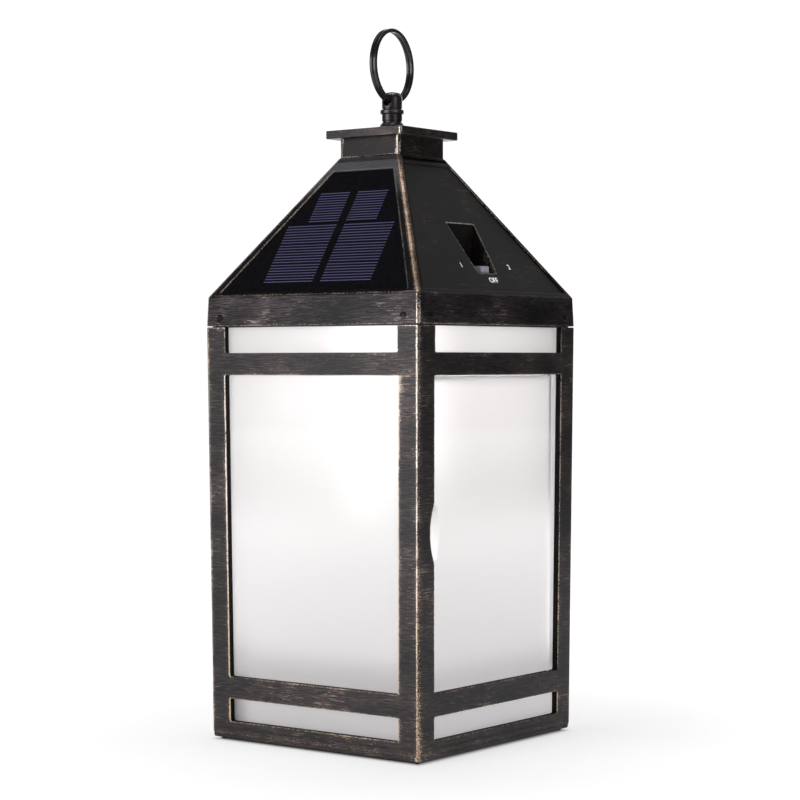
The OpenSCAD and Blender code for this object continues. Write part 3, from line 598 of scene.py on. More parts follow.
def build_frame():
    s = Shape()
    re = R_EDGE
    z0, z1 = Z_FRAME, Z_TOP
    steps = [(re * (1 - math.sin(a)), re * (1 - math.cos(a))) for a in QUARTER]     # (in-plane inset, depth)
    # corner strips with rounded bottom and top ends
    levels = [(z0 + o, d) for o, d in reversed(steps)] + [(z0 + 40 + 38 * i, 0) for i in range(5)] + [(z1 - o, d) for o, d in steps]
    for k in range(4):
        rows = []
        for z, d in levels:
            # corner weights, partly real rubbing and partly painted highlight: more towards top and bottom, strongest
            # at each arc's start (beside the front face on the near corner), halved on the shaded far right corner (k
            # 1), and on the left corner (k 3) strongest at its front end
            f = 0.72 + 0.28 * abs((z - 140) / 120) ** 1.4
            w = [1.0, 1.25, 0.85 * f, 0.74 * f, 0.72 * f, 0.62 * f, 0.45] if d == 0 else [0.6] * 7
            if k in (1, 3):
                w = [0.4, 0.4, 0.5 * f, 0.5 * f, 0.55 * f, 1.15, 0.9] if k == 3 else [0.5 * q for q in w]
            rows.append(s.loop(corner_arc(k, ah(z), R_CORNER, z, 6, inset=d), w))
        s.lofts(rows, closed=False)
    bottoms, inner_bottom = [], []
    for k in range(4):
        def P(pts, d):
            return [on_side(k, u, d, z) for u, z in pts]

        def chains(o):
            hb, ht = ah(z0 + o) - R_CORNER, ah(z1 - o) - R_CORNER
            bot = [(-hb, z0 + o), (hb, z0 + o)]
            zt = z1 - o
            notch = [(ah(z1) - POST, z1 + 5), (ah(Z_UP1) - POST, Z_UP1), (-(ah(Z_UP1) - POST), Z_UP1), (-(ah(z1) - POST), z1 + 5)]
            rn = round_poly([(-80, z1 + 5), (-80, 150), (80, 150), (80, z1 + 5)] + notch, [0] * 4 + [0, 1.1, 1.1, 0])[4:]
            rn = [Vector(q) for q in rn]
            # moves the notch edge away from the hole by o
            out = []
            for i, q in enumerate(rn):
                e0 = q - rn[i - 1] if i else rn[1] - q
                e1 = rn[i + 1] - q if i < len(rn) - 1 else q - rn[i - 1]
                a, b = Vector((-e0.y, e0.x)).normalized(), Vector((-e1.y, e1.x)).normalized()
                m = (a + b) / max((a + b).length_squared / 2, 0.35)
                out.append(q - m * -o if False else q + m * -o)
            # the outline runs right edge down, across, and up the left edge
            first, last = out[0], out[-1]
            d0, d1 = out[1] - first, out[-2] - last
            first = first + d0 * ((zt - first.y) / d0.y)
            last = last + d1 * ((zt - last.y) / d1.y)
            out[0], out[-1] = first, last
            top = [(ht, zt)] + [(q.x, q.y) for q in out] + [(-ht, zt)]
            return bot, top

        rows_b, rows_t = [], []
        for o, d in steps:
            b, t = chains(o)
            rows_b.append(s.loop(P(b, d), 0.4))
            rows_t.append(s.loop(P(t, d), upright_wear_and_highlight(t, 1.25, 0.4)))
        s.lofts(rows_b, closed=False)
        s.lofts(rows_t, closed=False)
        # the outer flat, with two soft lines inside its border
        b, t = chains(re)
        outline = b + t
        nb = len(b)
        wear0 = upright_wear_and_highlight(outline, 1.0, 0.4)
        rings = [s.loop(P(outline, 0), wear0)]
        for inset, w in ((0.5, 0.45), (1.6, 0.3), (3.0, 0.0)):
            rings.append(s.loop(P(grow(outline, -inset), 0), w))
        s.lofts(rings)
        holes = []
        for za, zb in ((Z_RAIL, Z_LOW0), (Z_LOW1, Z_UP0)):
            w0 = window_outline(k, za, zb)
            rows = []
            # window edge weights, partly real rubbing and partly painted highlight, lower on the shaded right side (k
            # 1)
            up = upright_wear_and_highlight(w0, 0.66 if k == 1 else 1.0, 0.45)
            for off, wv in ((re + 3.8, 0.0), (re + 2.0, 0.36), (re + 0.5, 0.62)):
                rows.append(s.loop(P(grow(w0, off), 0), [wv * q for q in up]))
            for o, d in steps:
                rows.append(s.loop(P(grow(w0, o) if o > 1e-9 else w0, d), [(1.5 if d < re * 0.9 else 0.6) * q for q in up]))
            s.lofts(rows)
            s.mat = 1
            rows += [s.loop(P(w0, 1.2), 0.0), s.loop(P(w0, WALL), 0.0)]
            s.lofts(rows[-3:])
            s.mat = 0
            holes.append((rows[0], rows[-1]))
        s.fill(rings[-1], *[h[0] for h in holes])
        # walls of the notch and the underside, then the inner face
        b, t = chains(0.0)
        tw = s.loop(P(t[1:-1], WALL))
        ta = s.loop(P(t[1:-1], re), 0.3)
        s.mat = 1
        s.strip(ta, tw, closed=False)
        s.mat = 0
        inner = s.loop([on_side(k, -65, WALL, z0), on_side(k, 65, WALL, z0), on_side(k, 65, WALL, z1)] +
                       P(t[1:-1], WALL) + [on_side(k, -65, WALL, z1)])
        s.fill(inner, *[h[1] for h in holes])
        # column faces behind the corner to the next side
        c0 = s.loop([on_side(k, 65, WALL, z0), turn(k, 65, -65, z0), on_side(k + 1, -65, WALL, z0)])
        c1 = s.loop([on_side(k, 65, WALL, z1), turn(k, 65, -65, z1), on_side(k + 1, -65, WALL, z1)])
        s.strip(c0, c1, closed=False)
        # top of the post between this side's notch and the next side's
        b2, t2 = chains(0.0)
        top = P([t[1], t[0]], re) + corner_arc(k, ah(z1), R_CORNER, z1, 6, inset=re)[1:-1]
        mirror = [(-t[0][0], t[0][1]), (-t[1][0], t[1][1])]
        top += [on_side(k + 1, u, re, z) for u, z in mirror]
        top += [on_side(k + 1, -t[1][0], WALL, z1), on_side(k + 1, -65, WALL, z1), turn(k, 65, -65, z1),
                on_side(k, 65, WALL, z1), on_side(k, t[1][0], WALL, z1)]
        s.fill(s.loop(top, 0.2))
        bottoms += P([b[0], b[1]], re)[:2] + corner_arc(k, ah(z0), R_CORNER, z0, 6, inset=re)[1:-1]
        inner_bottom += [on_side(k, -65, WALL, z0), on_side(k, 65, WALL, z0), turn(k, 65, -65, z0)]
    s.fill(s.loop(bottoms, 0.6), s.loop(inner_bottom, 0.0))
    # lip inside the skirt, and the corner blocks that its screws go into
    for lo, hi, za, zb in ((69.4, 72.2, 232.0, 242.2),):
        loops = [s.loop(square_loop(hi, 1.0, za)), s.loop(square_loop(hi, 1.0, zb)),
                 s.loop(square_loop(lo, 0.5, zb)), s.loop(square_loop(lo, 0.5, za))]
        s.lofts(loops + [loops[0]])
    for k in range(4):
        a = [turn(k, x, y, 226.2) for x, y in ((65.2, -65.2), (72.1, -65.2), (72.1, -72.1), (65.2, -72.1))]
        b = [(x, y, 242.0) for x, y, _ in a]
        ia, ib = s.loop(a), s.loop(b)
        s.strip(ia, ib)
        s.fill(ia)
        s.fill(ib)
    return place(s.make("frame_shell", [M_FRAME, M_INNER]), "lantern", "body_frame", slot="frame_black")


build_frame()

# ------------------------------------------------------------------ base plate
base = square_shell("base_plate_shell", [
    (Z_BASE, 71.9, 1.4, 0.3), (Z_BASE, ah(Z_BASE) - 0.15 - 0.8, 1.8, 0.5), (Z_BASE + 0.11, ah(Z_BASE) - 0.15 - 0.4, 2.0, 0.7),
    (Z_BASE + 0.4, ah(Z_BASE) - 0.15 - 0.11, 2.2, 0.6), (Z_BASE + 0.8, ah(Z_BASE) - 0.15, 2.3, 0.4), (Z_FRAME - 0.16, ah(Z_FRAME) - 0.15, 2.1, 0.2),
    (Z_FRAME - 0.04, ah(Z_FRAME) - 0.2, 2.0, 0.2), (Z_FRAME - 0.01, ah(Z_FRAME) - 0.4, 1.8, 0.1)], [M_FRAME])
place(base, "lantern", "base_plate", slot="frame_black")


# ------------------------------------------------------------------ roof
R_HIP = 2.0
POCKET_Z0, POCKET_X = 261.3, ROOF - (291.6 - Z_EAVE) * CB / SB
SOFT = [(0.42 * (1 - math.sin(a)), 0.42 * (1 - math.cos(a))) for a in QUARTER]


def build_roof():
    s = Shape()
    re = 0.45
    # rows of the rounded hips, from the skirt's bottom edge to the neck
    def hips(rows, wear_mid=1.0, wear_end=0.5, mat=0):
        s.mat = mat
        for k in range(4):
            out = []
            for h, r, z, w in rows:
                # hip weights, partly real rubbing and partly painted highlight: strongest at the arc's start, halved on
                # the shaded far right hip (k 1), reversed on the left hip (k 3) so its front edge is strongest
                hip_wear_and_highlight = [1.0, 1.25] + [max(w, wear_mid * 0.8)] * 4 + [max(w, wear_end)]
                if k in (1, 3):
                    hip_wear_and_highlight = hip_wear_and_highlight[::-1] if k == 3 else [0.5 * q for q in hip_wear_and_highlight]
                out.append(s.loop(corner_arc(k, h, r, z, 6), hip_wear_and_highlight))
            s.lofts(out, closed=False)
        s.mat = 0

    skirt = [(75.05 - re, R_HIP - 0.3, Z_SKIRT, 0.5), (75.05 - 0.13, R_HIP - 0.1, Z_SKIRT + 0.13, 0.7),
             (75.03, R_HIP, Z_SKIRT + re, 0.6), (ROOF + 0.03, R_HIP, Z_EAVE - 0.55, 0.6)]
    # the eave is a soft edge between skirt and slope
    eave = [(ROOF - 0.02, R_HIP, Z_EAVE - 0.2, 0.8), (ROOF - 0.16, R_HIP, Z_EAVE + 0.06, 0.85), (rh(Z_EAVE + 0.55), R_HIP, Z_EAVE + 0.55, 0.6)]
    hips(skirt + eave, mat=2)
    hips([(rh(Z_EAVE + 0.55), R_HIP, Z_EAVE + 0.55, 0.6)] + [(rh(Z_EAVE + 10 * i), R_HIP, Z_EAVE + 10 * i, 0.0) for i in range(1, 8)] +
         [(rh(Z_NECK - 0.4), R_HIP, Z_NECK - 0.4, 0.3)], 0.9, 0.6, mat=1)
    hips([(rh(Z_NECK - 0.4), R_HIP, Z_NECK - 0.4, 0.5), (21.45, 1.95, Z_NECK + 0.25, 0.5), (21.3, 1.9, Z_NECK + 0.9, 0.3),
          (21.3, 1.9, Z_NECK + 6, 0.0), (21.3, 1.9, Z_CAP0, 0.0)])

    def flat(k, h, r, z):
        return [turn(k, -(h - r), -h, z), turn(k, h - r, -h, z)]

    for k in range(4):
        # skirt bottom edge
        s.mat = 2
        rows = [s.loop(flat(k, h, r, z), min(w, 0.5)) for h, r, z, w in skirt[:3]]
        s.lofts(rows, closed=False)
        # skirt face, with its two sunk screws
        (h0, r0, za, _), (h1, r1, zb, _) = skirt[2], skirt[3]
        hz = lambda z: h0 + (h1 - h0) * (z - za) / (zb - za)
        F = lambda pts, d: [turn(k, u, -(hz(z) - d), z) for u, z in pts]
        outline = [(-(h0 - r0), za), (h0 - r0, za), (h1 - r1, zb), (-(h1 - r1), zb)]
        rings = [s.loop(F(outline, 0), upright_wear_and_highlight(outline, 1.0, 0.3))] + [s.loop(F(grow(outline, -i), 0), w) for i, w in ((0.8, 0.3), (2.2, 0.25), (3.6, 0.12))]
        s.lofts(rings)
        holes = []
        for u in (-64.4, 64.4):
            circ = [(u + math.cos(2 * math.pi * i / 20) * 2.15, 237 + math.sin(2 * math.pi * i / 20) * 2.15) for i in range(20)]
            hr = [s.loop(F(grow(circ, 0.3), 0), 0.0), s.loop(F(grow(circ, 0.08), 0.08), 0.3), s.loop(F(circ, 0.3), 0.1), s.loop(F(circ, 1.15), 0.0)]
            s.lofts(hr[:3])
            s.mat = 3
            s.lofts(hr[2:])
            s.fill(hr[-1])
            s.mat = 2
            holes.append(hr[0])
        s.fill(rings[-1], *holes)
        # eave edge
        rows = [s.loop(flat(k, *skirt[3][:3]), 0.32)] + [s.loop(flat(k, h, r, z), 0.32) for h, r, z, w in eave]
        s.lofts(rows, closed=False)
        s.mat = 0
        # slope
        v0, v1 = 0.55 / SB, (Z_NECK - 0.4 - Z_EAVE) / SB
        S = lambda pts, d: [on_slope(k, x, v, d) for x, v in pts]
        hw = lambda v: ROOF - v * CB - R_HIP
        outline = [(-hw(v0), v0), (hw(v0), v0), (hw(v1), v1), (-hw(v1), v1)]
        # border weights, partly real rubbing and partly painted highlight: lower on the shaded right slope (k 1), a
        # wider weighted band on the front slope (k 0)
        ring = s.loop(S(outline, 0), upright_wear_and_highlight(outline, 0.55 if k == 1 else 1.0, 0.3))
        ring_in = s.loop(S(grow(outline, -0.35 if k else -0.75), 0), 0.2 if k else upright_wear_and_highlight(outline, 1.0, 0.2))
        ring_in2 = s.loop(S(grow(outline, -0.9 if k else -1.15), 0), 0.0)
        s.mat = 4 if k == 0 else 0
        s.lofts([ring, ring_in, ring_in2])
        groove = round_poly([(-20.9, 91.8), (20.9, 91.8), (19.7, 93.9), (-19.7, 93.9)], 0.3, 2)
        g = [s.loop(S(grow(groove, o * 0.8) if o > 1e-9 else groove, d * 0.8), 0.3) for o, d in SOFT] + [s.loop(S(groove, 1.25), 0.0)]
        s.lofts(g)
        s.fill(g[-1])
        if k == 0:
            rec, depth = [(-66, 2.3), (66, 2.3), (21.1, 85.6), (-21.1, 85.6)], 1.75
        else:
            rec, depth = [(-69.3, 3.1), (69.3, 3.1), (21.6, 89.3), (-21.6, 89.3)], 0.8
        rec = round_poly(rec, 1.2 if k else 1.0, 3)
        # recess edge weights, partly real rubbing and partly painted highlight: higher on the slanted edges, and the
        # front slope (k 0) gets an extra ring for a painted highlight line
        rec_up = [min(1.0, q) for q in upright_wear_and_highlight(rec, 1.6, 0.35)]
        r = [s.loop(S(grow(rec, 1.0), 0), 0.0)] + ([s.loop(S(grow(rec, 0.78), 0), rec_up)] if k == 0 else []) + [s.loop(S(grow(rec, o) if o > 1e-9 else rec, d), [w * q for q in rec_up]) for (o, d), w in zip(SOFT, (0.8, 1.3, 1.3, 0.7))] + [s.loop(S(rec, depth), 0.0)]
        s.lofts(r)
        s.fill(ring_in2, g[0], r[0])
        s.mat = 0
        if k != 1:
            s.fill(r[-1])
        else:
            pocket(s, S, r[-1], depth)
        # neck: a short cove, then the flat face
        rows = [s.loop(flat(k, rh(Z_NECK - 0.4), R_HIP, Z_NECK - 0.4), 0.3), s.loop(flat(k, 21.45, 1.95, Z_NECK + 0.25), 0.2),
                s.loop(flat(k, 21.3, 1.9, Z_NECK + 0.9), 0.1)]
        s.lofts(rows, closed=False)
        za, zb = Z_NECK + 0.9, Z_CAP0
        G = lambda pts, d: [turn(k, u, -(21.3 - d), z) for u, z in pts]
        outline = [(-19.4, za), (19.4, za), (19.4, zb), (-19.4, zb)]
        rings = [s.loop(G(outline, 0), 0.5), s.loop(G([(-18.7, za), (18.7, za), (18.7, zb), (-18.7, zb)], 0), 0.25),
                 s.loop(G([(-17.6, za), (17.6, za), (17.6, zb), (-17.6, zb)], 0), 0.0)]
        s.lofts(rings)
        if k % 2:
            seam = [(-0.22, za + 0.5), (0.22, za + 0.5), (0.22, zb - 0.1), (-0.22, zb - 0.1)]
            q = [s.loop(G(seam, 0), 0.0), s.loop(G(seam, 0.5), 0.0)]
            s.lofts(q)
            s.fill(q[-1])
            s.fill(rings[-1], q[0])
        else:
            s.fill(rings[-1])
    # top, bottom edge and the hollow inside
    top = s.loop(square_loop(21.3, 1.9, Z_CAP0), 0.0)
    s.fill(top)
    ins = [(Z_SKIRT, 75.05 - re, R_HIP - 0.3), (Z_SKIRT, 72.4, 1.2), (245.5, 72.4, 1.2), (245.5, 70.8, 1.0), (Z_EAVE, 70.8, 1.0)]
    rows = [s.loop(square_loop(h, r, z), 0.3 if i == 0 else 0.0) for i, (z, h, r) in enumerate(ins)]
    s.lofts(rows)
    # inner faces of the roof
    hi = lambda z: rh(z) - 3.0 / SB
    zt = Z_NECK
    rows = [s.loop(square_loop(hi(zt), 0.6, zt)), s.loop(square_loop(18.4, 0.6, 336.3))]
    s.lofts(rows)
    s.fill(rows[-1])
    for k in range(4):
        a = corner_arc(k, 70.8, 1.0, Z_EAVE)
        b = corner_arc(k, hi(zt), 0.6, zt)
        s.strip(s.loop(a), s.loop(b), closed=False)
        quad = s.loop([turn(k, -69.8, -70.8, Z_EAVE), turn(k, 69.8, -70.8, Z_EAVE), turn(k, hi(zt) - 0.6, -hi(zt), zt), turn(k, -(hi(zt) - 0.6), -hi(zt), zt)])
        if k != 1:
            s.fill(quad)
        else:
            s.fill(quad, s.inner_hole)
    return place(s.make("roof_shell", [M_ROOF, M_RIB, M_SKIRT, M_INNER, M_BAND]), "lantern", "roof_housing", slot="roof_bronze")


def pocket(s, S, border, depth):
    """The switch pocket: a level prism cut into the slope, with a knob slot in its floor."""
    z_of = lambda v, d: Z_EAVE + v * SB - d * CB
    v_of = lambda z, d: (z - Z_EAVE + d * CB) / SB
    side = lambda z: 8.9 + (z - POCKET_Z0) * (5.1 / 33.3)

    def outline(d, g, back):
        # the height at which the back wall meets the plane d below the face
        zt = Z_EAVE + (ROOF - d / SB - back) * SB / CB
        zb = POCKET_Z0 - g
        pts = [(-side(zb) - g, zb), (side(zb) + g, zb), (side(zt) + g, zt), (-side(zt) - g, zt)]
        pts = [(y + SWITCH_Y, v_of(z, d)) for y, z in pts]
        return round_poly(pts, [1.5, 1.5, 0.4, 0.4], 4)

    o = outline(depth + 0.42, 0, POCKET_X)
    rows = [s.loop(S(grow(o, 0.9), depth), 0.0)] + [s.loop(S(grow(o, q) if q > 1e-9 else o, depth + d), 1.15) for q, d in SOFT]
    s.lofts(rows)
    s.fill(border, rows[0])
    front = S(o, depth + 0.42)
    back = [(POCKET_X, y, z) for _, y, z in front]
    n = len(front)
    # the straight stretch of the bottom edge is the floor's front edge
    i0 = min(range(n), key=lambda i: (round(front[i][2], 3), front[i][1]))
    i1 = max(range(n), key=lambda i: (-round(front[i][2], 3), front[i][1]))
    fl, bl = rows[-1], s.loop(back, 0.0)
    lo, hi = min(i0, i1), max(i0, i1)
    for i in range(n):
        j = (i + 1) % n
        if {i, j} == {i0, i1}:
            continue
        s.face((fl[i], fl[j], bl[j], bl[i]))
    s.fill(bl)
    slot_pts = [(58.4, SWITCH_Y - 6.9), (62.8, SWITCH_Y - 6.9), (62.8, SWITCH_Y + 6.9), (58.4, SWITCH_Y + 6.9)]
    slot_t = s.loop([(x, y, POCKET_Z0) for x, y in slot_pts])
    slot_b = s.loop([(x, y, POCKET_Z0 - 1.6) for x, y in slot_pts])
    s.strip(slot_t, slot_b)
    s.fill([fl[i0], fl[i1], bl[i1], bl[i0]], slot_t)
    # outside of the pocket's box, within the roof
    o2 = outline(3.0, 1.6, POCKET_X - 1.6)
    front2 = S(o2, 3.0)
    f2 = s.loop(front2)
    b2 = s.loop([(POCKET_X - 1.6, y, z) for _, y, z in front2])
    n2 = len(front2)
    j0 = min(range(n2), key=lambda i: (round(front2[i][2], 3), front2[i][1]))
    j1 = max(range(n2), key=lambda i: (-round(front2[i][2], 3), front2[i][1]))
    for i in range(n2):
        j = (i + 1) % n2
        if {i, j} == {j0, j1}:
            continue
        s.face((f2[i], f2[j], b2[j], b2[i]))
    s.fill(b2)
    s.fill([f2[j0], f2[j1], b2[j1], b2[j0]], slot_b)
    s.inner_hole = f2


build_roof()

# ------------------------------------------------------------------ cap plate
cap = square_shell("cap_plate_shell", [
    (Z_CAP0, 21.0, 1.0, 0.0), (Z_CAP0, CAP - 0.4, 1.0, 0.6), (Z_CAP0 + 0.12, CAP - 0.12, 1.15, 0.8), (Z_CAP0 + 0.4, CAP, 1.25, 0.7),
    (Z_CAP0 + 1.2, CAP, 1.25, 0.35), (Z_CAP1 - 1.2, CAP, 1.25, 0.4), (Z_CAP1 - 0.4, CAP, 1.25, 0.8), (Z_CAP1 - 0.12, CAP - 0.12, 1.15, 0.95),
    (Z_CAP1, CAP - 0.4, 1.0, 0.8), (Z_CAP1, 25.4, 0.9, 0.3), (Z_CAP1, 23.5, 0.8, 0.0)], [M_FRAME])
place(cap, "lantern", "cap_plate", slot="roof_bronze")


# ------------------------------------------------------------------ hanger post
def build_post():
    s = Shape()
    prof = [(0, 325), (2.6, 325), (3, 325.5), (3, Z_CAP1), (7.5, Z_CAP1), (7.5, 344.9), (6.9, 347), (6.1, 348.2), (5.5, 348.4), (5.5, 349.3), (5.82, 349.7),
            (5.82, 353.2), (6.5, 353.3), (6.8, 353.7), (6.8, 355.3), (6.5, 355.7), (5.4, 355.75), (5.4, 356.4), (5.83, 356.45), (5.83, 362.7),
            (5.35, 364.2), (4.3, 365.2), (3.0, 365.7), (1.5, 365.88), (0, 365.9)]
    rad = [0, 0.2, 0.2, 0.1, 0.3, 1.2, 1.0, 0.3, 0.1, 0.1, 0.1, 0.25, 0.4, 0.4, 0.4, 0.4, 0.15, 0.15, 0.3, 1.2, 0.6, 0.6, 0.6, 0, 0]
    prof = fillet(prof, rad, 4)
    wear_and_highlight = []
    for r, z in prof:
        w = 0.0
        if z > 363.3:
            w = 0.95
        elif 353.2 <= z <= 355.8 and r > 6.4:
            w = 0.5
        elif 345.5 <= z <= 348.3 and r > 6.0:
            w = 0.6
        elif 356.4 <= z <= 357.0:
            w = 0.35
        wear_and_highlight.append(w)
    revolve(s, prof, 64, wear_and_highlight)
    post = s.make("hanger_post_turned", [M_POST], weighted=False)
    c = Shape()
    revolve(c, [(0, -12), (2.85, -12), (2.85, 12), (0, 12)], 40, axis="Y")
    cr, sr = math.cos(RING_YAW), math.sin(RING_YAW)
    c.v = [(x * cr - y * sr, x * sr + y * cr, z + 360.6) for x, y, z in c.v]
    cut = c.make("cross_hole_cutter", [M_POST], weighted=False)
    b = post.modifiers.new("cross_hole", "BOOLEAN")
    b.operation, b.solver, b.object = "DIFFERENCE", "EXACT", cut
    bev = post.modifiers.new("edge", "BEVEL")
    bev.width, bev.segments, bev.limit_method, bev.angle_limit = 0.00028, 2, "ANGLE", math.radians(40)
    dg = bpy.context.evaluated_depsgraph_get()
    mesh = bpy.data.meshes.new_from_object(post.evaluated_get(dg), preserve_all_data_layers=True, depsgraph=dg)
    post.modifiers.clear()
    post.data = mesh
    mesh.polygons.foreach_set("use_smooth", [True] * len(mesh.polygons))
    mesh.set_sharp_from_angle(angle=math.radians(35))
    bpy.data.objects.remove(cut)
    return place(post, "lantern", "hanger_post", slot="bronze_metal")


build_post()


# ------------------------------------------------------------------ split ring
def build_ring():
    """Spring wire wound twice round; the crossover and both free ends lie at the bottom, inside the post."""
    s = Shape()
    mean, ring_z = 42.4 / 2 - 2.3 / 2, 360.65 + 42.4 / 2 - 2.3 / 2
    sec = round_poly([(-1.06, -1.13), (1.06, -1.13), (1.06, 1.13), (-1.06, 1.13)], 0.66, 5)      # (across, radial)
    cross, half = math.radians(270), math.radians(11)                                # middle and half length of the crossover
    a0, a1 = cross + half * 0.75, cross + 4 * math.pi - half * 0.75
    cr, sr = math.cos(RING_YAW), math.sin(RING_YAW)
    n = 320
    rows = []
    for i in range(n + 1):
        a = a0 + (a1 - a0) * i / n
        t = max(-1.0, min(1.0, (a - (cross + 2 * math.pi)) / half))
        x = 1.1 * math.sin(t * math.pi / 2)
        c, sn = math.cos(a), math.sin(a)
        pts = [(x + q, (mean + r) * c, ring_z + (mean + r) * sn) for q, r in sec]
        rows.append(s.loop([(px * cr - py * sr, px * sr + py * cr, pz) for px, py, pz in pts], 0.25))
    s.lofts(rows)
    s.fill(rows[0])
    s.fill(rows[-1])
    return place(s.make("split_ring_coil", [M_RING], angle=50, weighted=False), "split_ring", "split_ring", slot="ring_black")


build_ring()


# ------------------------------------------------------------------ panes: frosted outside, clear inner face
def build_pane(k, node, cut=None):
    s = Shape()
    d0, d1, z0, z1 = WALL + 0.05, WALL + 1.65, 8.4, Z_SKIRT - 0.4
    outline = round_poly([(-62.6, z0), (62.6, z0), (64.6, z1), (-64.6, z1)], 0.8, 3)
    P = lambda pts, d: [on_side(k, u, d, z) for u, z in pts]
    loops = [(outline, -1)] + ([(round_poly(cut, 1.5, 5), 1)] if cut else [])
    fronts, backs = [], []
    for pts, g in loops:
        rows = [s.loop(P(grow(pts, g * 0.25), d0)), s.loop(P(grow(pts, g * 0.07), d0 + 0.07)), s.loop(P(pts, d0 + 0.25)),
                s.loop(P(pts, d1 - 0.25)), s.loop(P(grow(pts, g * 0.07), d1 - 0.07)), s.loop(P(grow(pts, g * 0.25), d1))]
        s.lofts(rows)
        fronts.append(rows[0])
        backs.append(rows[-1])
    s.fill(*fronts)
    s.mat = 1
    s.fill(*backs)
    return place(s.make(node + "_sheet", [(M_FRONT, M_SIDE, M_PANE, M_PANE)[k], M_BACK]), "lantern", node, slot="frosted")


build_pane(0, "front_pane")
build_pane(2, "back_pane")
build_pane(3, "left_pane")
build_pane(1, "door_side_pane", [(-56.2, Z_LOW1 + 3), (48.5, Z_LOW1 + 3), (48.5, Z_UP0 - 3), (-57.8, Z_UP0 - 3)])


# ------------------------------------------------------------------ door
def build_door():
    s = Shape()
    az, ay = (Z_LOW1 + Z_UP0) / 2, 52.4
    ax = ah(az) - 2.3
    h = (Z_UP0 - Z_LOW1) / math.cos(DRAFT) - 1.0
    c, sn = math.cos(DRAFT), math.sin(DRAFT)

    def W(x, y, z):
        return (ax + x * c + z * sn, ay + y, az - x * sn + z * c)

    y0 = -(ah(Z_LOW1) - POST) + 0.8 - ay
    y1 = -(ah(Z_UP0) - POST) + 0.8 - ay
    leaf = round_poly([(y0, -h / 2), (0.0, -h / 2), (0.0, h / 2), (y1, h / 2)], [2.0, 0.6, 2.6, 2.0], 5)

    def sheet(pts, x0, x1, r):
        st = [(r * (1 - math.sin(a)), r * (1 - math.cos(a))) for a in QUARTER]
        rows = [s.loop([W(x1 - d, y, z) for y, z in grow(pts, -o)], 0.0) for o, d in st]
        rows += [s.loop([W(x0 + d, y, z) for y, z in grow(pts, -o)], 0.0) for o, d in reversed(st)]
        s.lofts(rows)
        s.fill(rows[0])
        s.mat = 1
        s.fill(rows[-1])
        s.mat = 0

    sheet(leaf, -0.9, 0.9, 0.4)
    # half-moon pull: a thicker lens with a rim along its outer arc
    yc, zc, r = SCALLOP_Y - ay, 122.1 - az, 36.0
    half = 14.6
    arc = [(yc - math.sqrt(r * r - (half - 2 * half * i / 20) ** 2), zc + half - 2 * half * i / 20) for i in range(21)]
    lens = arc + [(yc - 29.2, zc - half + 0.6), (yc - 28.4, zc - half * 0.5), (yc - 28.1, zc), (yc - 28.4, zc + half * 0.5), (yc - 29.2, zc + half - 0.6)]
    s.mat = 2
    sheet(lens, -0.82, 1.35, 0.35)
    s.mat = 2
    rim_in = [(y + 1.5 + 0.4 * math.cos((z - zc) / half * 1.4), zc + (z - zc) * 0.94) for y, z in arc]
    sheet(arc + rim_in[::-1], 1.0, 2.0, 0.3)
    s.mat = 0
    # barrel and pivots
    for r_, hh in ((0.9, h - 0.4), (0.75, h + 5.2)):
        prof = [(0, -hh / 2), (r_ - 0.15, -hh / 2), (r_, -hh / 2 + 0.15), (r_, hh / 2 - 0.15), (r_ - 0.15, hh / 2), (0, hh / 2)]
        base_i = len(s.v)
        revolve(s, prof, 20)
        for i in range(base_i, len(s.v)):
            s.v[i] = W(*s.v[i])
    return place(s.make("door_leaf", [M_DOOR, M_BACK, M_PULL]), "door", "door", slot="frosted")


build_door()


# ------------------------------------------------------------------ switch knob
def build_knob():
    s = Shape()
    x0, x1, z0, z1 = 57.4, 63.6, POCKET_Z0 + 0.3, POCKET_Z0 + 4.2
    yk = SWITCH_Y
    base_pts = round_poly([(x0, yk - 4), (x1, yk - 4), (x1, yk + 4), (x0, yk + 4)], 0.7, 4)
    rows = [s.loop([(x, y, z0) for x, y in grow(base_pts, -0.3)]), s.loop([(x, y, z0 + 0.3) for x, y in base_pts]),
            s.loop([(x, y, z1 - 0.5) for x, y in grow(base_pts, -0.12)]), s.loop([(x, y, z1 - 0.15) for x, y in grow(base_pts, -0.25)]),
            s.loop([(x, y, z1) for x, y in grow(base_pts, -0.6)])]
    s.lofts(rows)
    s.fill(rows[0])
    s.fill(rows[-1])
    for y in (yk - 2.4, yk - 1.2, yk, yk + 1.2, yk + 2.4):                     # finger ridges
        r = [s.loop([(x, y - 0.3, z1 - 0.35), (x, y - 0.16, z1 - 0.02), (x, y + 0.16, z1 - 0.02), (x, y + 0.3, z1 - 0.35)]) for x in (x0 + 0.7, x1 - 0.7)]
        s.strip(r[0], r[1])
        s.fill(r[0])
        s.fill(r[1])
    st = [(59.4, yk - 2), (61.8, yk - 2), (61.8, yk + 2), (59.4, yk + 2)]
    rows = [s.loop([(x, y, z) for x, y in st]) for z in (POCKET_Z0 - 4.6, z0 + 1)]
    s.lofts(rows)
    s.fill(rows[0])
    s.fill(rows[1])
    return place(s.make("switch_knob_cap", [M_KNOB]), "switch_knob", "switch_knob", slot="knob_grey")


build_knob()


